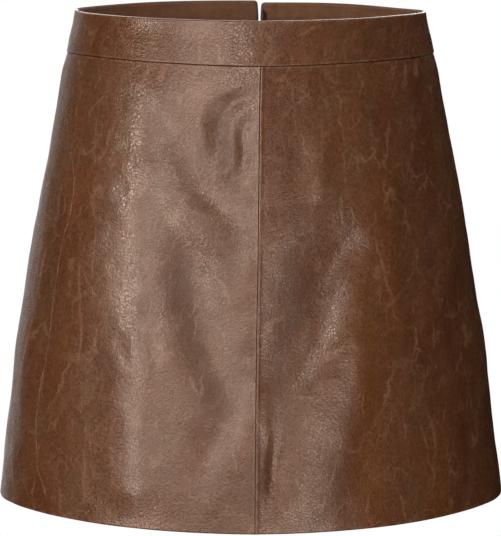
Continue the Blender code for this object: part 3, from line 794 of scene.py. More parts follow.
class Wiring:
    """Adds the nodes of one tree and joins them."""

    def __init__(self, tree):
        self.tree = tree

    def add(self, kind, inputs=(), **settings):
        """A node with its settings and its inputs, each a value or another node's output."""
        node = self.tree.nodes.new(kind)
        for name, value in settings.items():
            setattr(node, name, value)
        for name, value in dict(inputs).items():
            self.feed(value, node.inputs[name])
        return node

    def feed(self, value, socket):
        if isinstance(value, bpy.types.NodeSocket):
            self.tree.links.new(value, socket)
        else:
            socket.default_value = value

    def math(self, operation, one, two=0.0):
        return self.add("ShaderNodeMath", {0: one, 1: two}, operation=operation).outputs[0]

    def times(self, one, two):
        return self.math("MULTIPLY", one, two)

    def plus(self, one, two):
        return self.math("ADD", one, two)

    def vector(self, operation, one, two):
        name = "Scale" if operation == "SCALE" else 1
        return self.add("ShaderNodeVectorMath", {0: one, name: two}, operation=operation).outputs[0]

    def range(self, value, low, high, to_low=0.0, to_high=1.0):
        """The value's range from low to high, stretched smoothly to another."""
        inputs = {"Value": value, 1: low, 2: high, 3: to_low, 4: to_high}
        return self.add("ShaderNodeMapRange", inputs, interpolation_type="SMOOTHSTEP").outputs[0]

    def mix(self, share, one, two, blend="MIX"):
        node = self.add("ShaderNodeMix", data_type="RGBA", blend_type=blend)
        for value, socket in zip((share, one, two), (node.inputs[0], node.inputs[6], node.inputs[7])):
            if isinstance(value, (tuple, list)) and len(value) == 3:
                value = (*value, 1)
            self.feed(value, socket)
        return node.outputs[2]

    def noise(self, place, size, detail=2.0, roughness=0.5, distortion=0.0, kind="Factor"):
        """Noise with cells of this size, in the place's own unit."""
        scale = 1 / size if isinstance(size, (int, float)) else self.math("DIVIDE", 1.0, size)
        shape = {"Detail": detail, "Roughness": roughness, "Distortion": distortion}
        node = self.add("ShaderNodeTexNoise", {"Vector": place, "Scale": scale, **shape})
        return node.outputs[0 if kind == "Factor" else 1]

    def cells(self, place, scale, feature, output):
        """Irregular cells: their distance to the edge, or their colour."""
        node = self.add("ShaderNodeTexVoronoi", {"Vector": place, "Scale": scale}, feature=feature)
        return node.outputs[output]

    def bump(self, shader, height, distance):
        """Gives the shader a relief of this height."""
        node = self.add("ShaderNodeBump", {"Height": height, "Distance": distance, "Strength": 1.0})
        self.feed(node.outputs[0], shader.inputs["Normal"])


def new_group(name, build, inputs, outputs):
    """A node group of numbers. Inputs without a default are places. build returns the outputs by name."""
    tree = bpy.data.node_groups.new(name, "ShaderNodeTree")
    for label, default in {"Place": None, **inputs}.items():
        kind = "Vector" if default is None else "Float"
        socket = tree.interface.new_socket(label, in_out="INPUT", socket_type=f"NodeSocket{kind}")
        if default is not None:
            socket.default_value = default
    for label in outputs:
        tree.interface.new_socket(label, in_out="OUTPUT", socket_type="NodeSocketFloat")
    wiring = Wiring(tree)
    taken = wiring.add("NodeGroupInput")
    given = wiring.add("NodeGroupOutput")
    for label, value in build(wiring, taken.outputs).items():
        wiring.feed(value, given.inputs[label])


def marbling(w, given):
    """Cloudy patches of a waxed hide, large and small together."""
    place = given["Place"]
    size = given["Patch Size"]
    large = w.noise(place, size, detail=4, roughness=0.58, distortion=0.7)
    small = w.noise(place, w.times(size, 0.2), detail=4, roughness=0.62, distortion=0.4)
    moved = w.vector("ADD", place, (37.0, 91.0, 0.0))
    drift = w.noise(moved, w.times(size, 1.3), detail=3, roughness=0.55, distortion=0.5)
    tone = w.plus(w.times(large, 0.62), w.times(small, 0.38))
    return {"Tone": w.range(tone, 0.36, 0.64), "Drift": w.range(drift, 0.4, 0.62)}


def veins(w, given):
    """Fine pale lines in a loose net, longer up and down, fading in and out."""
    place = given["Place"]
    wander = w.noise(place, 14.0, detail=3, kind="Color")
    bent = w.vector("ADD", place, w.vector("SCALE", w.vector("SUBTRACT", wander, (0.5, 0.5, 0.5)), 13.0))
    longer = w.vector("MULTIPLY", bent, (1.0, 0.42, 1.0))
    scale = w.math("DIVIDE", 1.0, given["Mesh Size"])
    edge = w.cells(longer, scale, "DISTANCE_TO_EDGE", "Distance")
    line = w.range(w.times(edge, given["Mesh Size"]), 0.0, given["Width"], 1.0, 0.0)
    broken = w.range(w.noise(w.vector("ADD", place, (11.0, 5.0, 0.0)), 21.0, detail=2), 0.42, 0.66)
    return {"Line": w.times(line, broken)}


def long_veins(w, given):
    """The veins of the table, wandering a little and worn through here and there."""
    parts = w.add("ShaderNodeSeparateXYZ", {0: given["Round"]}).outputs
    turn = w.plus(w.math("DIVIDE", parts["X"], 4 * pi), 0.5)
    down = w.math("DIVIDE", parts["Y"], SIDE_LENGTH)
    wander = w.math("SUBTRACT", w.noise(given["Place"], 11.0, detail=3), 0.5)
    worn = w.range(w.noise(given["Place"], 16.0, detail=2), 0.3, 0.6, 0.35, 1.0)
    total = 0.0
    for vein in VEINS:
        curve = w.add("ShaderNodeFloatCurve", {"Value": down})
        points = curve.mapping.curves[0].points
        spots = [(drop * MM / SIDE_LENGTH, radians(angle) / (4 * pi) + 0.5) for drop, angle in vein.places]
        points[0].location, points[1].location = spots[0], spots[-1]
        for spot in spots[1:-1]:
            points.new(*spot)
        curve.mapping.update()
        off = w.times(w.math("SUBTRACT", turn, curve.outputs[0]), 4 * pi * VEIN_RADIUS)
        off = w.math("ABSOLUTE", w.plus(off, w.times(wander, 5.0)))
        line = w.range(off, vein.half_width * 0.2, vein.half_width * 1.5, vein.strength, 0.0)
        begins = w.range(down, spots[0][0], spots[0][0] + VEIN_FADE)
        ends = w.range(down, spots[-1][0] - VEIN_FADE, spots[-1][0], 1.0, 0.0)
        total = w.math("MAXIMUM", total, w.times(line, w.times(begins, ends)))
    return {"Line": w.times(total, worn)}


def pebbles(w, given):
    """Flat-topped grain with narrow grooves between the pebbles, each pebble tilted a little."""
    place, size = given["Place"], given["Pebble Size"]
    wander = w.noise(place, w.times(size, 2.4), detail=2, kind="Color")
    bent = w.vector("ADD", place, w.vector("SCALE", wander, w.times(size, 0.9)))
    scale = w.math("DIVIDE", 1.0, size)
    groove = w.cells(bent, scale, "DISTANCE_TO_EDGE", "Distance")
    tops = w.range(groove, 0.0, 0.2)
    tilt = w.noise(place, w.times(size, 1.3), detail=1)
    fine = w.noise(place, w.times(size, 0.5), detail=2, roughness=0.6)
    cell = w.cells(bent, scale, "F1", "Color")
    height = w.plus(w.times(tops, 0.42), w.times(tilt, 1.6))
    return {
        "Height": w.plus(height, w.times(fine, 0.25)),
        "Groove": w.range(groove, 0.0, 0.2, 1.0, 0.0),
        "Cell": w.add("ShaderNodeSeparateColor", {0: cell}).outputs[0],
    }


def border_wear_and_shade(w, given):
    """Painted shade in the close of the seam, and rubbed pale where the turned edge stands up."""
    border = given["Border"]
    rub = w.noise(given["Place"], 6.0, detail=3, roughness=0.6)
    ridge = w.times(w.range(border, 0.35, 0.9), w.range(border, 1.1, 2.6, 1.0, 0.0))
    return {
        "Depth": w.range(border, 0.05, 0.6, 1.0, 0.0),
        "Rub": w.times(ridge, w.range(rub, 0.35, 0.65)),
    }


def nap(w, given):
    """Short fibres brushed about, in patches."""
    place = given["Place"]
    tufts = w.times(given["Fibre"], 16.0)
    brushed = w.noise(place, tufts, detail=4, roughness=0.65, distortion=1.2)
    fibres = w.noise(place, given["Fibre"], detail=3, roughness=0.7)
    return {"Height": fibres, "Shade": w.range(brushed, 0.3, 0.7)}


def twill(w, given):
    """Diagonal ribs of a woven tape."""
    place = given["Place"]
    turned = w.add("ShaderNodeMapping", {"Vector": place, "Rotation": (0, 0, radians(38))}).outputs[0]
    scale = w.math("DIVIDE", 1.0, given["Rib"])
    inputs = {"Vector": turned, "Scale": scale, "Distortion": 0.4, "Detail": 2.0}
    ribs = w.add("ShaderNodeTexWave", inputs, wave_type="BANDS", bands_direction="X").outputs[1]
    yarn = w.noise(place, w.times(given["Rib"], 0.4), detail=2)
    return {"Height": w.plus(ribs, w.times(yarn, 0.5))}


GROUPS = {
    "marbling": (marbling, {"Patch Size": 40.0}, ("Tone", "Drift")),
    "veins": (veins, {"Mesh Size": 18.0, "Width": 0.6}, ("Line",)),
    "long veins": (long_veins, {"Round": None}, ("Line",)),
    "pebbles": (pebbles, {"Pebble Size": 1.2}, ("Height", "Groove", "Cell")),
    "border wear": (border_wear_and_shade, {"Border": 10.0}, ("Depth", "Rub")),
    "nap": (nap, {"Fibre": 0.3}, ("Height", "Shade")),
    "twill": (twill, {"Rib": 0.7}, ("Height",)),
}


def group(w, name, place, **inputs):
    """One of the node groups, made when it is first wanted. An input's name has _ for a space."""
    if name not in bpy.data.node_groups:
        new_group(name, *GROUPS[name])
    node = w.add("ShaderNodeGroup", node_tree=bpy.data.node_groups[name])
    for label, value in {"Place": place, **inputs}.items():
        w.feed(value, node.inputs[label.replace("_", " ")])
    return node.outputs


def made_once(build):
    """Calls build once for a material's name, with its wiring, its shader and the values after the name."""

    def material_of(name, *values, **options):
        if name not in bpy.data.materials:
            material = bpy.data.materials.new(name)
            material.use_nodes = True
            build(Wiring(material.node_tree), material.node_tree.nodes["Principled BSDF"], *values, **options)
        return bpy.data.materials[name]

    return material_of


def shades(colour, spread):
    """A darker and a paler shade of a colour."""
    dark = tuple(part * (1 - spread) for part in colour)
    return dark, tuple(min(1, part * (1 + spread)) for part in colour)


def cut_place(w):
    """The place on the piece's flat cut, in millimetres."""
    return w.vector("SCALE", w.add("ShaderNodeUVMap", uv_map="cut").outputs[0], 1000.0)


def attribute(w, name):
    return w.add("ShaderNodeAttribute", attribute_name=name).outputs["Fac"]


@made_once
def leather(w, shader, dull=0.0):
    """The grain side: waxed, marbled, veined and pebbled. dull makes it rougher."""
    settings = bpy.context.scene.skirt_leather
    brown, red, olive, amber, vein = (
        tuple(getattr(settings, name)) for name in ("brown", "red", "olive", "amber", "vein"))
    place = cut_place(w)
    turned = w.add("ShaderNodeUVMap", uv_map="round").outputs[0]
    patches = group(w, "marbling", w.vector("MULTIPLY", place, (1.0, 0.5, 1.0)), Patch_Size=30.0)
    net = group(w, "veins", place, Mesh_Size=26.0, Width=1.3)["Line"]
    moved = w.vector("ADD", place, (310.0, 70.0, 0.0))
    fine_net = group(w, "veins", moved, Mesh_Size=11.0, Width=0.9)["Line"]
    drawn = group(w, "long veins", place, Round=turned)["Line"]
    nets = w.math("MAXIMUM", w.times(net, 0.5), w.times(fine_net, 0.28))
    lines = w.math("MAXIMUM", drawn, nets)
    grain = group(w, "pebbles", place, Pebble_Size=settings.pebble / MM)
    edges = group(w, "border wear", place, Border=attribute(w, "border"))
    fold, stained, matt = (attribute(w, name) for name in ("fold", "stain", "matt"))

    colour = w.mix(patches["Drift"], olive, brown)
    colour = w.mix(w.times(patches["Tone"], 0.8), colour, red)
    colour = w.mix(w.times(w.range(stained, 0.1, 0.9), 0.7), colour, amber)
    colour = w.mix(w.times(w.range(stained, -0.9, -0.1, 1.0, 0.0), 0.7), colour, olive)
    # Painted light and shade from the folds: paler olive on the ridges, darker colour in the troughs.
    colour = w.mix(w.times(w.range(fold, 0.3, 2.4), 0.2), colour, olive)
    # Painted shade: the colour is darkened in the matt bands, standing in for gloss that misses the lights
    # there.
    colour = w.mix(w.times(matt, 0.5), colour, w.vector("SCALE", colour, 0.6))
    painted_trough_shade = w.range(fold, -2.6, -0.3, 1.0, 0.0)
    colour = w.mix(w.times(painted_trough_shade, 0.2), colour, w.vector("SCALE", colour, 0.62))
    colour = w.mix(lines, colour, vein)
    colour = w.mix(w.times(edges["Rub"], 0.45), colour, vein)
    # Painted shade darkens the grain's grooves; each pebble also gets its own tone at random.
    pale_cells = w.range(grain["Cell"], 0.0, 1.0, 0.88, 1.12)
    groove_shade_and_tone = w.times(w.range(grain["Groove"], 0.0, 1.0, 1.05, 0.72), pale_cells)
    grey = w.add("ShaderNodeCombineColor", {"Red": groove_shade_and_tone, "Green": groove_shade_and_tone, "Blue": groove_shade_and_tone}).outputs[0]
    colour = w.mix(1.0, colour, grey, "MULTIPLY")
    # Painted shade along every edge of the piece, where it rolls into a seam or under.
    colour = w.mix(w.times(edges["Depth"], 0.7), colour, GRAIN_SEAM_SHADE)
    w.feed(colour, shader.inputs["Base Color"])

    streaks = w.noise(w.vector("MULTIPLY", place, (1.0, 0.7, 1.0)), 15.0, detail=3, roughness=0.55)
    rough = w.plus(settings.roughness + dull - 0.03, w.times(w.range(streaks, 0.36, 0.66), 0.08))
    rough = w.plus(rough, w.times(grain["Groove"], 0.25))
    rough = w.plus(rough, w.times(w.math("SUBTRACT", grain["Cell"], 0.5), 0.12))
    w.feed(w.plus(rough, w.times(matt, 0.2)), shader.inputs["Roughness"])

    height = w.plus(grain["Height"], w.times(lines, -0.4))
    height = w.plus(height, w.noise(place, 5.0, detail=3, roughness=0.55))
    w.bump(shader, height, settings.pebble_height)
    shader.inputs["Specular IOR Level"].default_value = 0.5
    shader.inputs["Specular Tint"].default_value = WAX_TINT


@made_once
def suede(w, shader, colour, fibre=0.35, rough=0.9, shade=0.35):
    """The flesh side of the hide, or a napped facing."""
    place = cut_place(w)
    fibres = group(w, "nap", place, Fibre=fibre)
    patches = group(w, "marbling", place, Patch_Size=30.0)
    edges = group(w, "border wear", place, Border=attribute(w, "border"))
    tone = w.plus(w.times(fibres["Shade"], 0.6), w.times(patches["Tone"], 0.4))
    mixed = w.mix(tone, *shades(colour, shade))
    # Painted shade along the suede's edges, where they roll into a seam.
    mixed = w.mix(w.times(edges["Depth"], 0.7), mixed, SUEDE_SEAM_SHADE)
    w.feed(mixed, shader.inputs["Base Color"])
    w.feed(w.range(fibres["Height"], 0.3, 0.7, rough + 0.05, rough - 0.1), shader.inputs["Roughness"])
    w.bump(shader, fibres["Height"], 0.12 * MM)


def flesh_side():
    return suede("flesh_side", tuple(bpy.context.scene.skirt_leather.flesh))


@made_once
def woven(w, shader, colour):
    """The zip's woven tape, paler where the twill's ribs stand high: painted light and shade of the weave."""
    weave = group(w, "twill", cut_place(w), Rib=0.8)["Height"]
    pale = tuple(part * 2.2 for part in colour)
    # Painted light and shade: the ribs' tops paler, the hollows between them dark.
    w.feed(w.mix(w.range(weave, 0.2, 1.3), colour, pale), shader.inputs["Base Color"])
    w.feed(w.range(weave, 0.2, 1.3, 0.9, 0.75), shader.inputs["Roughness"])
    w.bump(shader, weave, 0.1 * MM)


@made_once
def small_stuff(w, shader, colour, rough, metal=0.0, patch=0.6, spread=0.25, depth=0.01 * MM):
    """A hard or twisted small thing: plastic teeth, thread or worn metal. Its place is in millimetres."""
    place = w.vector("SCALE", w.add("ShaderNodeTexCoord").outputs["Object"], 1000.0)
    cloud = w.noise(place, patch * 3, detail=3, roughness=0.6)
    fine = w.noise(w.vector("MULTIPLY", place, (1.0, 1.0, 0.3)), patch * 0.5, detail=3, roughness=0.65)
    w.feed(w.mix(w.range(cloud, 0.35, 0.65), *shades(colour, spread)), shader.inputs["Base Color"])
    w.feed(w.range(fine, 0.3, 0.7, rough - 0.08, rough + 0.12), shader.inputs["Roughness"])
    w.bump(shader, fine, depth)
    shader.inputs["Metallic"].default_value = metal


def zip_metal():
    metal = tuple(bpy.context.scene.skirt_zip.metal)
    return small_stuff("zip_metal", metal, 0.34, metal=1.0, patch=0.9, spread=0.3)


# ---------------------------------------------------------------- hard pieces, modelled by hand


def start(name):
    """Names the primitive that was just added and opens it for editing."""
    piece = bpy.context.active_object
    piece.name = name
    piece.data.name = name
    bpy.ops.object.transform_apply(location=True, rotation=True, scale=True)
    bpy.ops.object.mode_set(mode="EDIT")
    return piece


def clear_selection():
    if bpy.context.active_object and bpy.context.active_object.mode != "OBJECT":
        bpy.ops.object.mode_set(mode="OBJECT")
    bpy.ops.object.select_all(action="DESELECT")


def pick(piece, kind, test):
    """Selects the faces, edges or vertices of the piece being edited that pass a test, and nothing else."""
    bpy.ops.mesh.select_mode(type={"faces": "FACE", "edges": "EDGE", "verts": "VERT"}[kind])
    bpy.ops.mesh.select_all(action="DESELECT")
    mesh = bmesh.from_edit_mesh(piece.data)
    for item in getattr(mesh, kind):
        if test(item):
            item.select_set(True)
    mesh.select_flush_mode()
    bmesh.update_edit_mesh(piece.data)


def close_piece():
    """Leaves edit mode with the faces pointing outwards and smooth where they are round."""
    bpy.ops.mesh.select_all(action="SELECT")
    bpy.ops.mesh.remove_doubles(threshold=1e-7)
    bpy.ops.mesh.normals_make_consistent(inside=False)
    bpy.ops.object.mode_set(mode="OBJECT")
    bpy.ops.object.shade_smooth_by_angle(angle=HARD_SHARP)
    bpy.ops.object.select_all(action="DESELECT")


def edge_along(edge, axis):
    """Whether an edge runs along an axis."""
    way = edge.verts[1].co - edge.verts[0].co
    return abs(way[axis]) > 0.99 * way.length


def copies(name, model, points, turns, material):
    """One mesh with a copy of the model at each point, turned by that point's turn. Removes the model."""
    shape = np.array([vertex.co for vertex in model.data.vertices])
    model_faces = [list(face.vertices) for face in model.data.polygons]
    bpy.data.objects.remove(model)
    placed = np.einsum("nij,vj->nvi", turns, shape) + points[:, None, :]
    shifts = np.arange(len(points)) * len(shape)
    faces = [[int(shift) + index for index in face] for shift in shifts for face in model_faces]
    piece = mesh_object(name, placed.reshape(-1, 3), faces, (material,))
    piece.data.set_sharp_from_angle(angle=COPIES_SHARP)
    return piece


def zip_place():
    """Pivot of the pull tab and its lean along the band, the same as the frame's."""
    drop = np.array([SLIDER_DROP, BAND_HEIGHT])
    (here, below), _, _ = surface_frame(seam_angle("back", drop), drop)
    lip = band_face(drop)
    lean = atan2(below[1] + lip[1] - here[1] - lip[0], here[2] - below[2])
    pivot = here + (PIVOT_HEIGHT + lip[0]) * np.array((0, cos(lean), sin(lean)))
    return Vector(pivot), lean


def put_on_zip(piece):
    """Moves a piece that was made round the pivot into its place."""
    pivot, lean = zip_place()
    piece.data.transform(Matrix.Translation(pivot) @ Matrix.Rotation(lean, 4, "X"))


def sink_panel():
    """Sinks a shallow panel with a slanted rim into the faces that are picked."""
    bpy.ops.mesh.inset(thickness=PANEL_RIM, depth=-PANEL_SINK)


# ---------------------------------------------------------------- operators


def seam_relief(places, first, last):
    """The low ridge along each seam, its puckers, and the allowances that show through the leather."""
    total = 0
    sides = ((first, places.to_first, first == "front"), (last, places.to_last, last == "right"))
    for seam, edge, ridge in sides:
        height = RIDGE_HEIGHT if ridge else PLAIN_RIDGE_HEIGHT
        tent = TENT_HEIGHT * np.exp(-edge / TENT_REACH) if seam == "front" else 0
        if seam == "front" and first == "front":
            tent = tent + WELT_HEIGHT * np.exp(-(((edge - WELT_PLACE) / WELT_REACH) ** 2))
        along_seam = np.stack((edge * 0.5, 0.05 + 0 * edge, places.drops), axis=-1)
        pucker = lumps(along_seam, PUCKER_SIZE, PUCKER_SEED) * PUCKER_HEIGHT * np.exp(-edge / PUCKER_SIZE)
        pressed = PRESSED_HEIGHT * step_up(edge, SEAM_ALLOWANCE, PRESSED_SOFTNESS)
        total = total + height * np.exp(-((edge / RIDGE_REACH) ** 2)) + pucker + pressed + tent
    return total


def panel(name, first, last):
    """One of the four panels, its seams rolled in, its hem turned up and its allowances pressed flat."""
    drops = rows_between(BAND_HEIGHT + HAIR_GAP, SIDE_LENGTH)
    hem_top = SIDE_LENGTH - HEM_TURN_UP
    drops = np.sort(np.append(drops, (hem_top - HEM_STEP / 2, hem_top + HEM_STEP / 2)))
    places = patch(first, last, drops, HAIR_GAP / 2, HAIR_GAP / 2, ALLOWANCE_EDGE)
    hem_fold = rolled(places.to_bottom, HEM_THICKNESS / 2)
    outer = sum(rolled(edge, SEAM_ROLL) for edge in (places.to_first, places.to_last, places.to_top))
    outer = outer + seam_relief(places, first, last) + hem_fold
    allowance = step_up(np.minimum(places.to_first, places.to_last), SEAM_ALLOWANCE)
    allowance = allowance * step_up(-places.drops, -ALLOWANCE_TOP)
    if "back" in (first, last):
        to_zip = places.to_first if first == "back" else places.to_last
        beside_zip = (to_zip < 2 * SEAM_ALLOWANCE) & (places.drops < ZIP_END + 5 * MM)
        allowance = np.where(beside_zip, 0, allowance)
    turn_up = step_up(places.to_bottom, HEM_TURN_UP)
    layers = np.maximum(allowance * ALLOWANCE_THICKNESS, turn_up * (HEM_THICKNESS - LEATHER))
    inner = -LEATHER - layers - hem_fold
    piece = wall(name + "_leather", places, outer, inner, (leather("grain_side"), flesh_side()))
    dress(piece, "skirt", "leather", name)


class SKIRT_OT_panels(bpy.types.Operator):
    """Makes the four leather panels."""

    bl_idname = "skirt.panels"
    bl_label = "Panels"

    def execute(self, context):
        panel("front_panel_right", "right", "front")
        panel("front_panel_left", "front", "left")
        panel("back_panel_left", "left", "back")
        panel("back_panel_right", "back", "right")
        return {"FINISHED"}


class SKIRT_OT_waistband(bpy.types.Operator):
    """Makes the waistband: the front folded double, and the two backs up to the notch."""

    bl_idname = "skirt.waistband"
    bl_label = "Waistband"

    def execute(self, context):
        drops = rows_between(0.0, BAND_HEIGHT)
        grain = leather("grain_side")
        inside = leather("grain_side_inside", dull=0.12)
        front = patch("right", "left", drops, HAIR_GAP / 2, HAIR_GAP / 2)
        top = rolled(front.to_top, FOLDED_BAND / 2)
        ends = rolled(front.to_first, SEAM_ROLL) + rolled(front.to_last, SEAM_ROLL)
        outer = band_face(front.drops) + top + ends + rolled(front.to_bottom, BAND_ROLL)
        inner = -FOLDED_BAND - top - rolled(front.to_bottom, SEAM_ROLL)
        piece = wall("waistband_front_leather", front, outer, inner, (grain, inside))
        dress(piece, "skirt", "leather", "waistband_front")
        notch = along(NOTCH, "half_gap", drops)
        for side in ("right", "left"):
            back, notched, plain = back_patch(side, drops, HAIR_GAP / 2, notch)
            top = rolled(back.to_top, LEATHER / 2) + rolled(notched, LEATHER / 2)
            outer = band_face(back.drops) + top + rolled(plain, SEAM_ROLL) + rolled(back.to_bottom, BAND_ROLL)
            name = f"waistband_back_{side}"
            piece = wall(name + "_leather", back, outer, -LEATHER - top, (grain, flesh_side()))
            dress(piece, "skirt", "leather", name)
        return {"FINISHED"}


class SKIRT_OT_facings(bpy.types.Operator):
    """Makes the facing inside each back waistband, over the zip tape."""

    bl_idname = "skirt.facings"
    bl_label = "Facings"

    def execute(self, context):
        colour = tuple(context.scene.skirt_leather.facing)
        cloth = suede("facing_suede", colour, fibre=0.5, rough=0.85, shade=0.25)
        drops = rows_between(FACING_TOP, FACING_TOP + FACING_LENGTH)
        for side in ("right", "left"):
            ends = along(FACING_ENDS, side, drops)
            places, to_end, _ = back_patch(side, drops, SEAM_GAP, ends)
            outer_depth = FACING_DEPTH + facing_rise(to_end + ends[:, None])
            inner_depth = outer_depth + FACING_THICKNESS
            edge = sum(rolled(end, FACING_THICKNESS / 2) for end in (places.to_top, places.to_bottom))
            name = f"facing_back_{side}"
            piece = wall(name + "_suede", places, edge - outer_depth, -edge - inner_depth, (cloth,))
            dress(piece, "skirt", "facing", name)
        return {"FINISHED"}


class SKIRT_OT_understitching(bpy.types.Operator):
    """Sews the row of small stitches below the top edge of each facing."""

    bl_idname = "skirt.understitching"
    bl_label = "Understitching"

    def execute(self, context):
        sewing = context.scene.skirt_sewing
        thread = small_stuff("thread", tuple(sewing.colour), 0.6, patch=0.3, depth=0.03 * MM)
        for side in ("right", "left"):
            model = self.stitch(sewing)
            places, turns = self.row(side, sewing)
            piece = copies(f"understitch_{side}", model, places, turns, thread)
            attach(piece, "skirt")
        return {"FINISHED"}

    @staticmethod
    def stitch(sewing):
        """One stitch, its ends thinner and dipping into the facing."""
        clear_selection()
        bpy.ops.mesh.primitive_cylinder_add(
            vertices=8, radius=sewing.thread / 2, depth=sewing.length * 0.6, rotation=(0, pi / 2, 0))
        model = start("stitch")
        for end in (-1, 1):
            pick(model, "faces", lambda face: face.normal.x * end > 0.9)
            bpy.ops.mesh.extrude_region_move(
                TRANSFORM_OT_translate={"value": (end * sewing.length * 0.2, 0, -sewing.thread * 0.3)})
            bpy.ops.transform.resize(value=(0.5, 0.5, 0.5))
        close_piece()
        return model

    @staticmethod
    def row(side, sewing):
        """Where the stitches lie along the facing, and how each is turned."""
        drop = np.array([sewing.drop])
        first, last = ("left", "back") if side == "left" else ("back", "right")
        angles = np.linspace(seam_angle(first, drop)[0], seam_angle(last, drop)[0], STITCH_SAMPLES)
        points, normals, rounds = surface_frame(angles, np.full_like(angles, sewing.drop))
        walked = distance_walked(points)
        begin, end = (ROW_FROM_SIDE, ROW_FROM_ZIP) if side == "left" else (ROW_FROM_ZIP, ROW_FROM_SIDE)
        stops = np.arange(begin, walked[-1] - end, sewing.pitch)
        to_back = walked[-1] - stops if side == "left" else stops
        depth = FACING_DEPTH + FACING_THICKNESS + facing_rise(to_back) + sewing.thread * 0.2
        index = np.searchsorted(walked, stops)
        inward = -normals[index]
        turns = np.stack([rounds[index], np.cross(inward, rounds[index]), inward], axis=-1)
        return points[index] + inward * depth[:, None], turns


class SKIRT_OT_zip_tapes(bpy.types.Operator):
    """Makes the two woven tapes of the zip."""

    bl_idname = "skirt.zip_tapes"
    bl_label = "Zip tapes"

    def execute(self, context):
        cloth = woven("tape_cloth", tuple(context.scene.skirt_zip.tape))
        drops = rows_between(TAPE_TOP, ZIP_END, NARROW_EDGE)
        near = along(TAPE_EDGES, "distance", drops)
        for side in ("right", "left"):
            places = strip(side, near, TAPE_INNER_EDGE + TAPE_WIDTH, drops, NARROW_EDGE)
            edge = rolled(np.minimum(places.to_first, places.to_last), TAPE_THICKNESS / 2)
            name = f"zip_tape_{side}"
            inner = -TAPE_DEPTH - TAPE_THICKNESS - edge
            piece = wall(name + "_cloth", places, -TAPE_DEPTH + edge, inner, (cloth,))
            dress(piece, "skirt", "zip_tape", name)
        return {"FINISHED"}


class SKIRT_OT_zip_chain(bpy.types.Operator):
    """Makes the closed row of teeth."""

    bl_idname = "skirt.zip_chain"
    bl_label = "Zip chain"

    def execute(self, context):
        zip_settings = context.scene.skirt_zip
        plastic = small_stuff("teeth_plastic", tuple(zip_settings.teeth), 0.42, patch=0.8)
        clear_selection()
        bpy.ops.mesh.primitive_cube_add(size=1, scale=TOOTH)
        model = start("tooth")
        pick(model, "edges", lambda edge: edge_along(edge, 1))
        bpy.ops.mesh.bevel(offset=TOOTH_ROUNDING, segments=2, affect="EDGES")
        pick(model, "faces", lambda face: abs(face.normal.y) > 0.9)
        bpy.ops.mesh.inset(thickness=TOOTH_END, depth=TOOTH_END)
        close_piece()
        drops = np.arange(CHAIN_START + FIRST_TOOTH, ZIP_END - LAST_TOOTH, zip_settings.pitch / 2)
        points, normals, rounds = surface_frame(seam_angle("back", drops), drops)
        side = np.where(np.arange(len(drops)) % 2, 1.0, -1.0)[:, None]
        places = points - normals * (TAPE_DEPTH + TOOTH_DEPTH) + rounds * side * TOOTH_OFFSET
        turns = np.stack([rounds, normals, np.cross(rounds, normals)], axis=-1)
        piece = copies("zip_chain_teeth", model, places, turns, plastic)
        dress(piece, "skirt", "zip_chain", "zip_chain")
        return {"FINISHED"}


class SKIRT_OT_zip_slider(bpy.types.Operator):
    """Makes the metal slider behind the band, with its bridge out through the slot."""

    bl_idname = "skirt.zip_slider"
    bl_label = "Zip slider"

    def execute(self, context):
        face_y = -PIVOT_HEIGHT - band_face(SLIDER_DROP) - LEATHER - SLIDER_GAP
        body = self.body(face_y)
        bridge = self.bridge(face_y - BRIDGE_FOOT)
        for piece in (body, bridge):
            piece.select_set(True)
        bpy.context.view_layer.objects.active = body
        bpy.ops.object.join()
        body.data.materials.clear()
        body.data.materials.append(zip_metal())
        put_on_zip(body)
        dress(body, "skirt", "zip_metal", "zip_slider")
        return {"FINISHED"}

    @staticmethod
    def body(face_y):
        """A flat block with a round nose, hollow at both sides and with a sunk panel on both faces."""
        clear_selection()
        bpy.ops.mesh.primitive_cube_add(
            size=1, location=(0, face_y - SLIDER_THICKNESS / 2, (SLIDER_ABOVE - SLIDER_BELOW) / 2),
            scale=(2 * SLIDER_HALF_WIDTH, SLIDER_THICKNESS, SLIDER_ABOVE + SLIDER_BELOW))
        body = start("zip_slider_metal")
        pick(body, "edges", lambda edge: edge_along(edge, 1) and edge.verts[0].co.z > 0)
        bpy.ops.mesh.bevel(offset=SLIDER_NOSE, segments=4, affect="EDGES")
        pick(body, "edges", lambda edge: edge_along(edge, 1) and edge.verts[0].co.z < 0)
        bpy.ops.mesh.bevel(offset=SLIDER_TAIL, segments=2, affect="EDGES")
        pick(body, "faces", lambda face: abs(face.normal.x) > 0.9)
        bpy.ops.mesh.inset(thickness=SLIDER_SLOT_RIM, depth=-SLIDER_SLOT_DEPTH, use_individual=True)
        pick(body, "faces", lambda face: abs(face.normal.y) > 0.9)
        bpy.ops.mesh.inset(thickness=SLIDER_BORDER, depth=0.0)
        sink_panel()
        close_piece()
        return body

    @staticmethod
    def bridge(foot_y):
        """A bent wire from above the pivot to below it, its feet in the body."""
        clear_selection()
        straight = BRIDGE_REACH - BRIDGE_BEND
        bend_y = BRIDGE_TOP - BRIDGE_BEND
        rise = bend_y - foot_y
        bpy.ops.mesh.primitive_circle_add(
            vertices=12, radius=BRIDGE_WIRE, fill_type="NGON", rotation=(pi / 2, 0, 0),
            location=(0, foot_y, BRIDGE_REACH))
        bridge = start("slider_bridge")
        for move, bend_z in (((0, rise, 0), straight), ((0, 0, -2 * straight), -straight)):
            bpy.ops.mesh.extrude_region_move(TRANSFORM_OT_translate={"value": move})
            bpy.ops.mesh.spin(
                steps=5, angle=-pi / 2, center=(0, bend_y, bend_z), axis=(1, 0, 0), use_auto_merge=False)
        bpy.ops.mesh.extrude_region_move(TRANSFORM_OT_translate={"value": (0, -rise, 0)})
        close_piece()
        return bridge


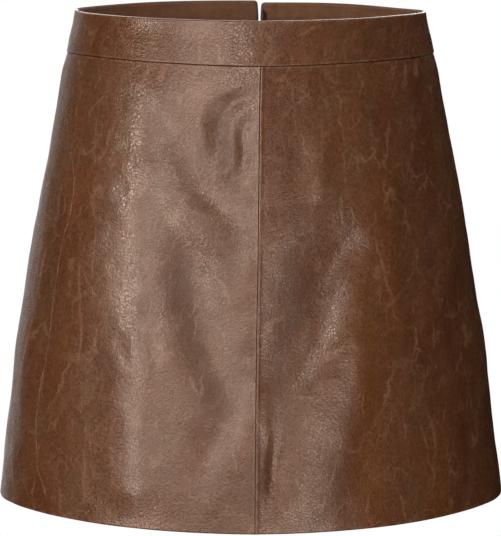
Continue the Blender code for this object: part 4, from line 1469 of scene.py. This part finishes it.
class SKIRT_OT_pull_tab(bpy.types.Operator):
    """Makes the flat pull tab with its eye round the slider's bridge."""

    bl_idname = "skirt.pull_tab"
    bl_label = "Pull tab"

    def execute(self, context):
        neck = TAB_EYE + 2 * TAB_BAR
        clear_selection()
        bpy.ops.mesh.primitive_cube_add(
            size=1, location=(0, 0, (TAB_BAR - TAB_LENGTH) / 2),
            scale=(2 * TAB_TOP_HALF_WIDTH, TAB_THICKNESS, TAB_LENGTH + TAB_BAR))
        tab = start("zip_pull_tab_metal")
        bpy.ops.mesh.select_all(action="SELECT")
        bpy.ops.mesh.bisect(plane_co=(0, 0, -neck), plane_no=(0, 0, 1))
        pick(tab, "verts", lambda vertex: vertex.co.z < -TAB_LENGTH + TAB_BAR)
        bpy.ops.transform.resize(value=(TAB_END_HALF_WIDTH / TAB_TOP_HALF_WIDTH, 1, 1))
        pick(tab, "edges", lambda edge: edge_along(edge, 1) and abs(edge.verts[0].co.z + neck) > TAB_BAR)
        bpy.ops.mesh.bevel(offset=TAB_CORNER, segments=5, affect="EDGES")
        pick(tab, "faces", lambda face: abs(face.normal.y) > 0.9 and face.calc_center_median().z > -TAB_EYE)
        bpy.ops.mesh.inset(thickness=TAB_EYE_RIM)
        bpy.ops.mesh.bridge_edge_loops()
        pick(tab, "faces", lambda face: abs(face.normal.y) > 0.9 and face.calc_center_median().z < -TAB_EYE)
        bpy.ops.mesh.inset(thickness=TAB_BORDER)
        sink_panel()
        close_piece()
        tab.data.materials.append(zip_metal())
        put_on_zip(tab)
        dress(tab, "zip_pull", "zip_metal", "zip_pull_tab")
        return {"FINISHED"}


def area_light(light, level):
    """A soft box that shines on the skirt from its direction, of the same brightness whatever its size."""
    azimuth, elevation = radians(light.azimuth), radians(light.elevation)
    flat = cos(elevation)
    away = Vector((sin(azimuth) * flat, -cos(azimuth) * flat, sin(elevation)))
    data = bpy.data.lights.new(light.name, "AREA")
    data.shape = "RECTANGLE"
    data.size = 2 * LIGHT_DISTANCE * tan(radians(light.width / 2))
    data.size_y = 2 * LIGHT_DISTANCE * tan(radians(light.height / 2))
    data.energy = level * light.share * pi * data.size * data.size_y
    lamp = bpy.data.objects.new(light.name, data)
    lamp.location = Vector(LIGHT_TARGET) + away * LIGHT_DISTANCE
    turned = Matrix.Rotation(radians(light.turn), 3, "Z").to_quaternion()
    lamp.rotation_euler = (away.to_track_quat("Z", "Y") @ turned).to_euler()
    lamp.visible_camera = False
    bpy.context.scene.collection.objects.link(lamp)


class SKIRT_OT_studio(bpy.types.Operator):
    """Sets up the white floor and backdrop, the lights and the camera."""

    bl_idname = "skirt.studio"
    bl_label = "Studio"

    def execute(self, context):
        studio = context.scene.skirt_studio
        self.surround()
        self.room(context, studio.fill)
        for light in LIGHTS:
            area_light(light, getattr(studio, light.setting))
        self.camera(context)
        context.scene.view_settings.view_transform = "Standard"
        return {"FINISHED"}

    @staticmethod
    def surround():
        """A floor below and a backdrop all round, both plain white and lighting nothing."""
        white = bpy.data.materials.new("studio_white")
        white.use_nodes = True
        white.node_tree.nodes.clear()
        w = Wiring(white.node_tree)
        glow = w.add("ShaderNodeEmission", {"Color": (1, 1, 1, 1)}).outputs[0]
        w.add("ShaderNodeOutputMaterial", {"Surface": glow})
        clear_selection()
        bpy.ops.mesh.primitive_circle_add(
            vertices=64, radius=ROOM_RADIUS, fill_type="NGON", location=(0, 0, FLOOR_Z))
        floor = bpy.context.active_object
        floor.name = "studio_floor"
        bpy.ops.mesh.primitive_cylinder_add(
            vertices=64, radius=ROOM_RADIUS, depth=2 * ROOM_RADIUS, end_fill_type="NGON")
        backdrop = bpy.context.active_object
        backdrop.name = "studio_backdrop"
        for piece in (floor, backdrop):
            piece.data.materials.append(white)
            piece.visible_diffuse = piece.visible_glossy = piece.visible_shadow = False
            piece.select_set(False)

    @staticmethod
    def room(context, fill):
        """A grey room, darker behind the skirt."""
        world = bpy.data.worlds.new("room")
        context.scene.world = world
        world.use_nodes = True
        w = Wiring(world.node_tree)
        ray = w.add("ShaderNodeTexCoord").outputs["Generated"]
        ahead = w.add("ShaderNodeSeparateXYZ", {0: ray}).outputs["Y"]
        level = w.range(ahead, -0.1, 0.5, fill, fill * ROOM_BEHIND)
        w.feed(level, world.node_tree.nodes["Background"].inputs["Strength"])

    @staticmethod
    def camera(context):
        """A long lens in front, a little above the waist and looking down."""
        data = bpy.data.cameras.new("camera")
        data.sensor_fit = "VERTICAL"
        data.sensor_height = data.sensor_width = FILM_HEIGHT
        data.lens = CAMERA_LENS
        data.clip_end = CAMERA_END
        camera = bpy.data.objects.new("camera", data)
        camera.location = CAMERA_PLACE
        camera.rotation_euler = (radians(90 - CAMERA_DOWN), 0, 0)
        context.scene.collection.objects.link(camera)
        context.scene.camera = camera


MAKERS = (
    SKIRT_OT_panels,
    SKIRT_OT_waistband,
    SKIRT_OT_facings,
    SKIRT_OT_understitching,
    SKIRT_OT_zip_tapes,
    SKIRT_OT_zip_chain,
    SKIRT_OT_zip_slider,
    SKIRT_OT_pull_tab,
    SKIRT_OT_studio,
)
SETTINGS = {
    "skirt_leather": SkirtLeatherSettings,
    "skirt_sewing": SkirtSewingSettings,
    "skirt_zip": SkirtZipSettings,
    "skirt_studio": SkirtStudioSettings,
}


class SKIRT_PT_pieces(bpy.types.Panel):
    """Lists the skirt's pieces and settings."""

    bl_idname = "SKIRT_PT_pieces"
    bl_label = "Leather mini skirt"
    bl_space_type = "VIEW_3D"
    bl_region_type = "UI"
    bl_category = "Skirt"

    def draw(self, context):
        for maker in MAKERS:
            self.layout.operator(maker.bl_idname)
        for name, kind in SETTINGS.items():
            box = self.layout.box()
            for label in kind.__annotations__:
                box.prop(getattr(context.scene, name), label)


def register():
    for kind in (*SETTINGS.values(), *MAKERS, SKIRT_PT_pieces):
        bpy.utils.register_class(kind)
    for name, kind in SETTINGS.items():
        setattr(bpy.types.Scene, name, PointerProperty(type=kind))


def unregister():
    for name in SETTINGS:
        delattr(bpy.types.Scene, name)
    for kind in (SKIRT_PT_pieces, *reversed(MAKERS), *reversed(SETTINGS.values())):
        bpy.utils.unregister_class(kind)


def main():
    register()
    bpy.ops.skirt.panels()
    bpy.ops.skirt.waistband()
    bpy.ops.skirt.facings()
    bpy.ops.skirt.understitching()
    bpy.ops.skirt.zip_tapes()
    bpy.ops.skirt.zip_chain()
    bpy.ops.skirt.zip_slider()
    bpy.ops.skirt.pull_tab()
    bpy.ops.skirt.studio()


if __name__ == "__main__":
    main()
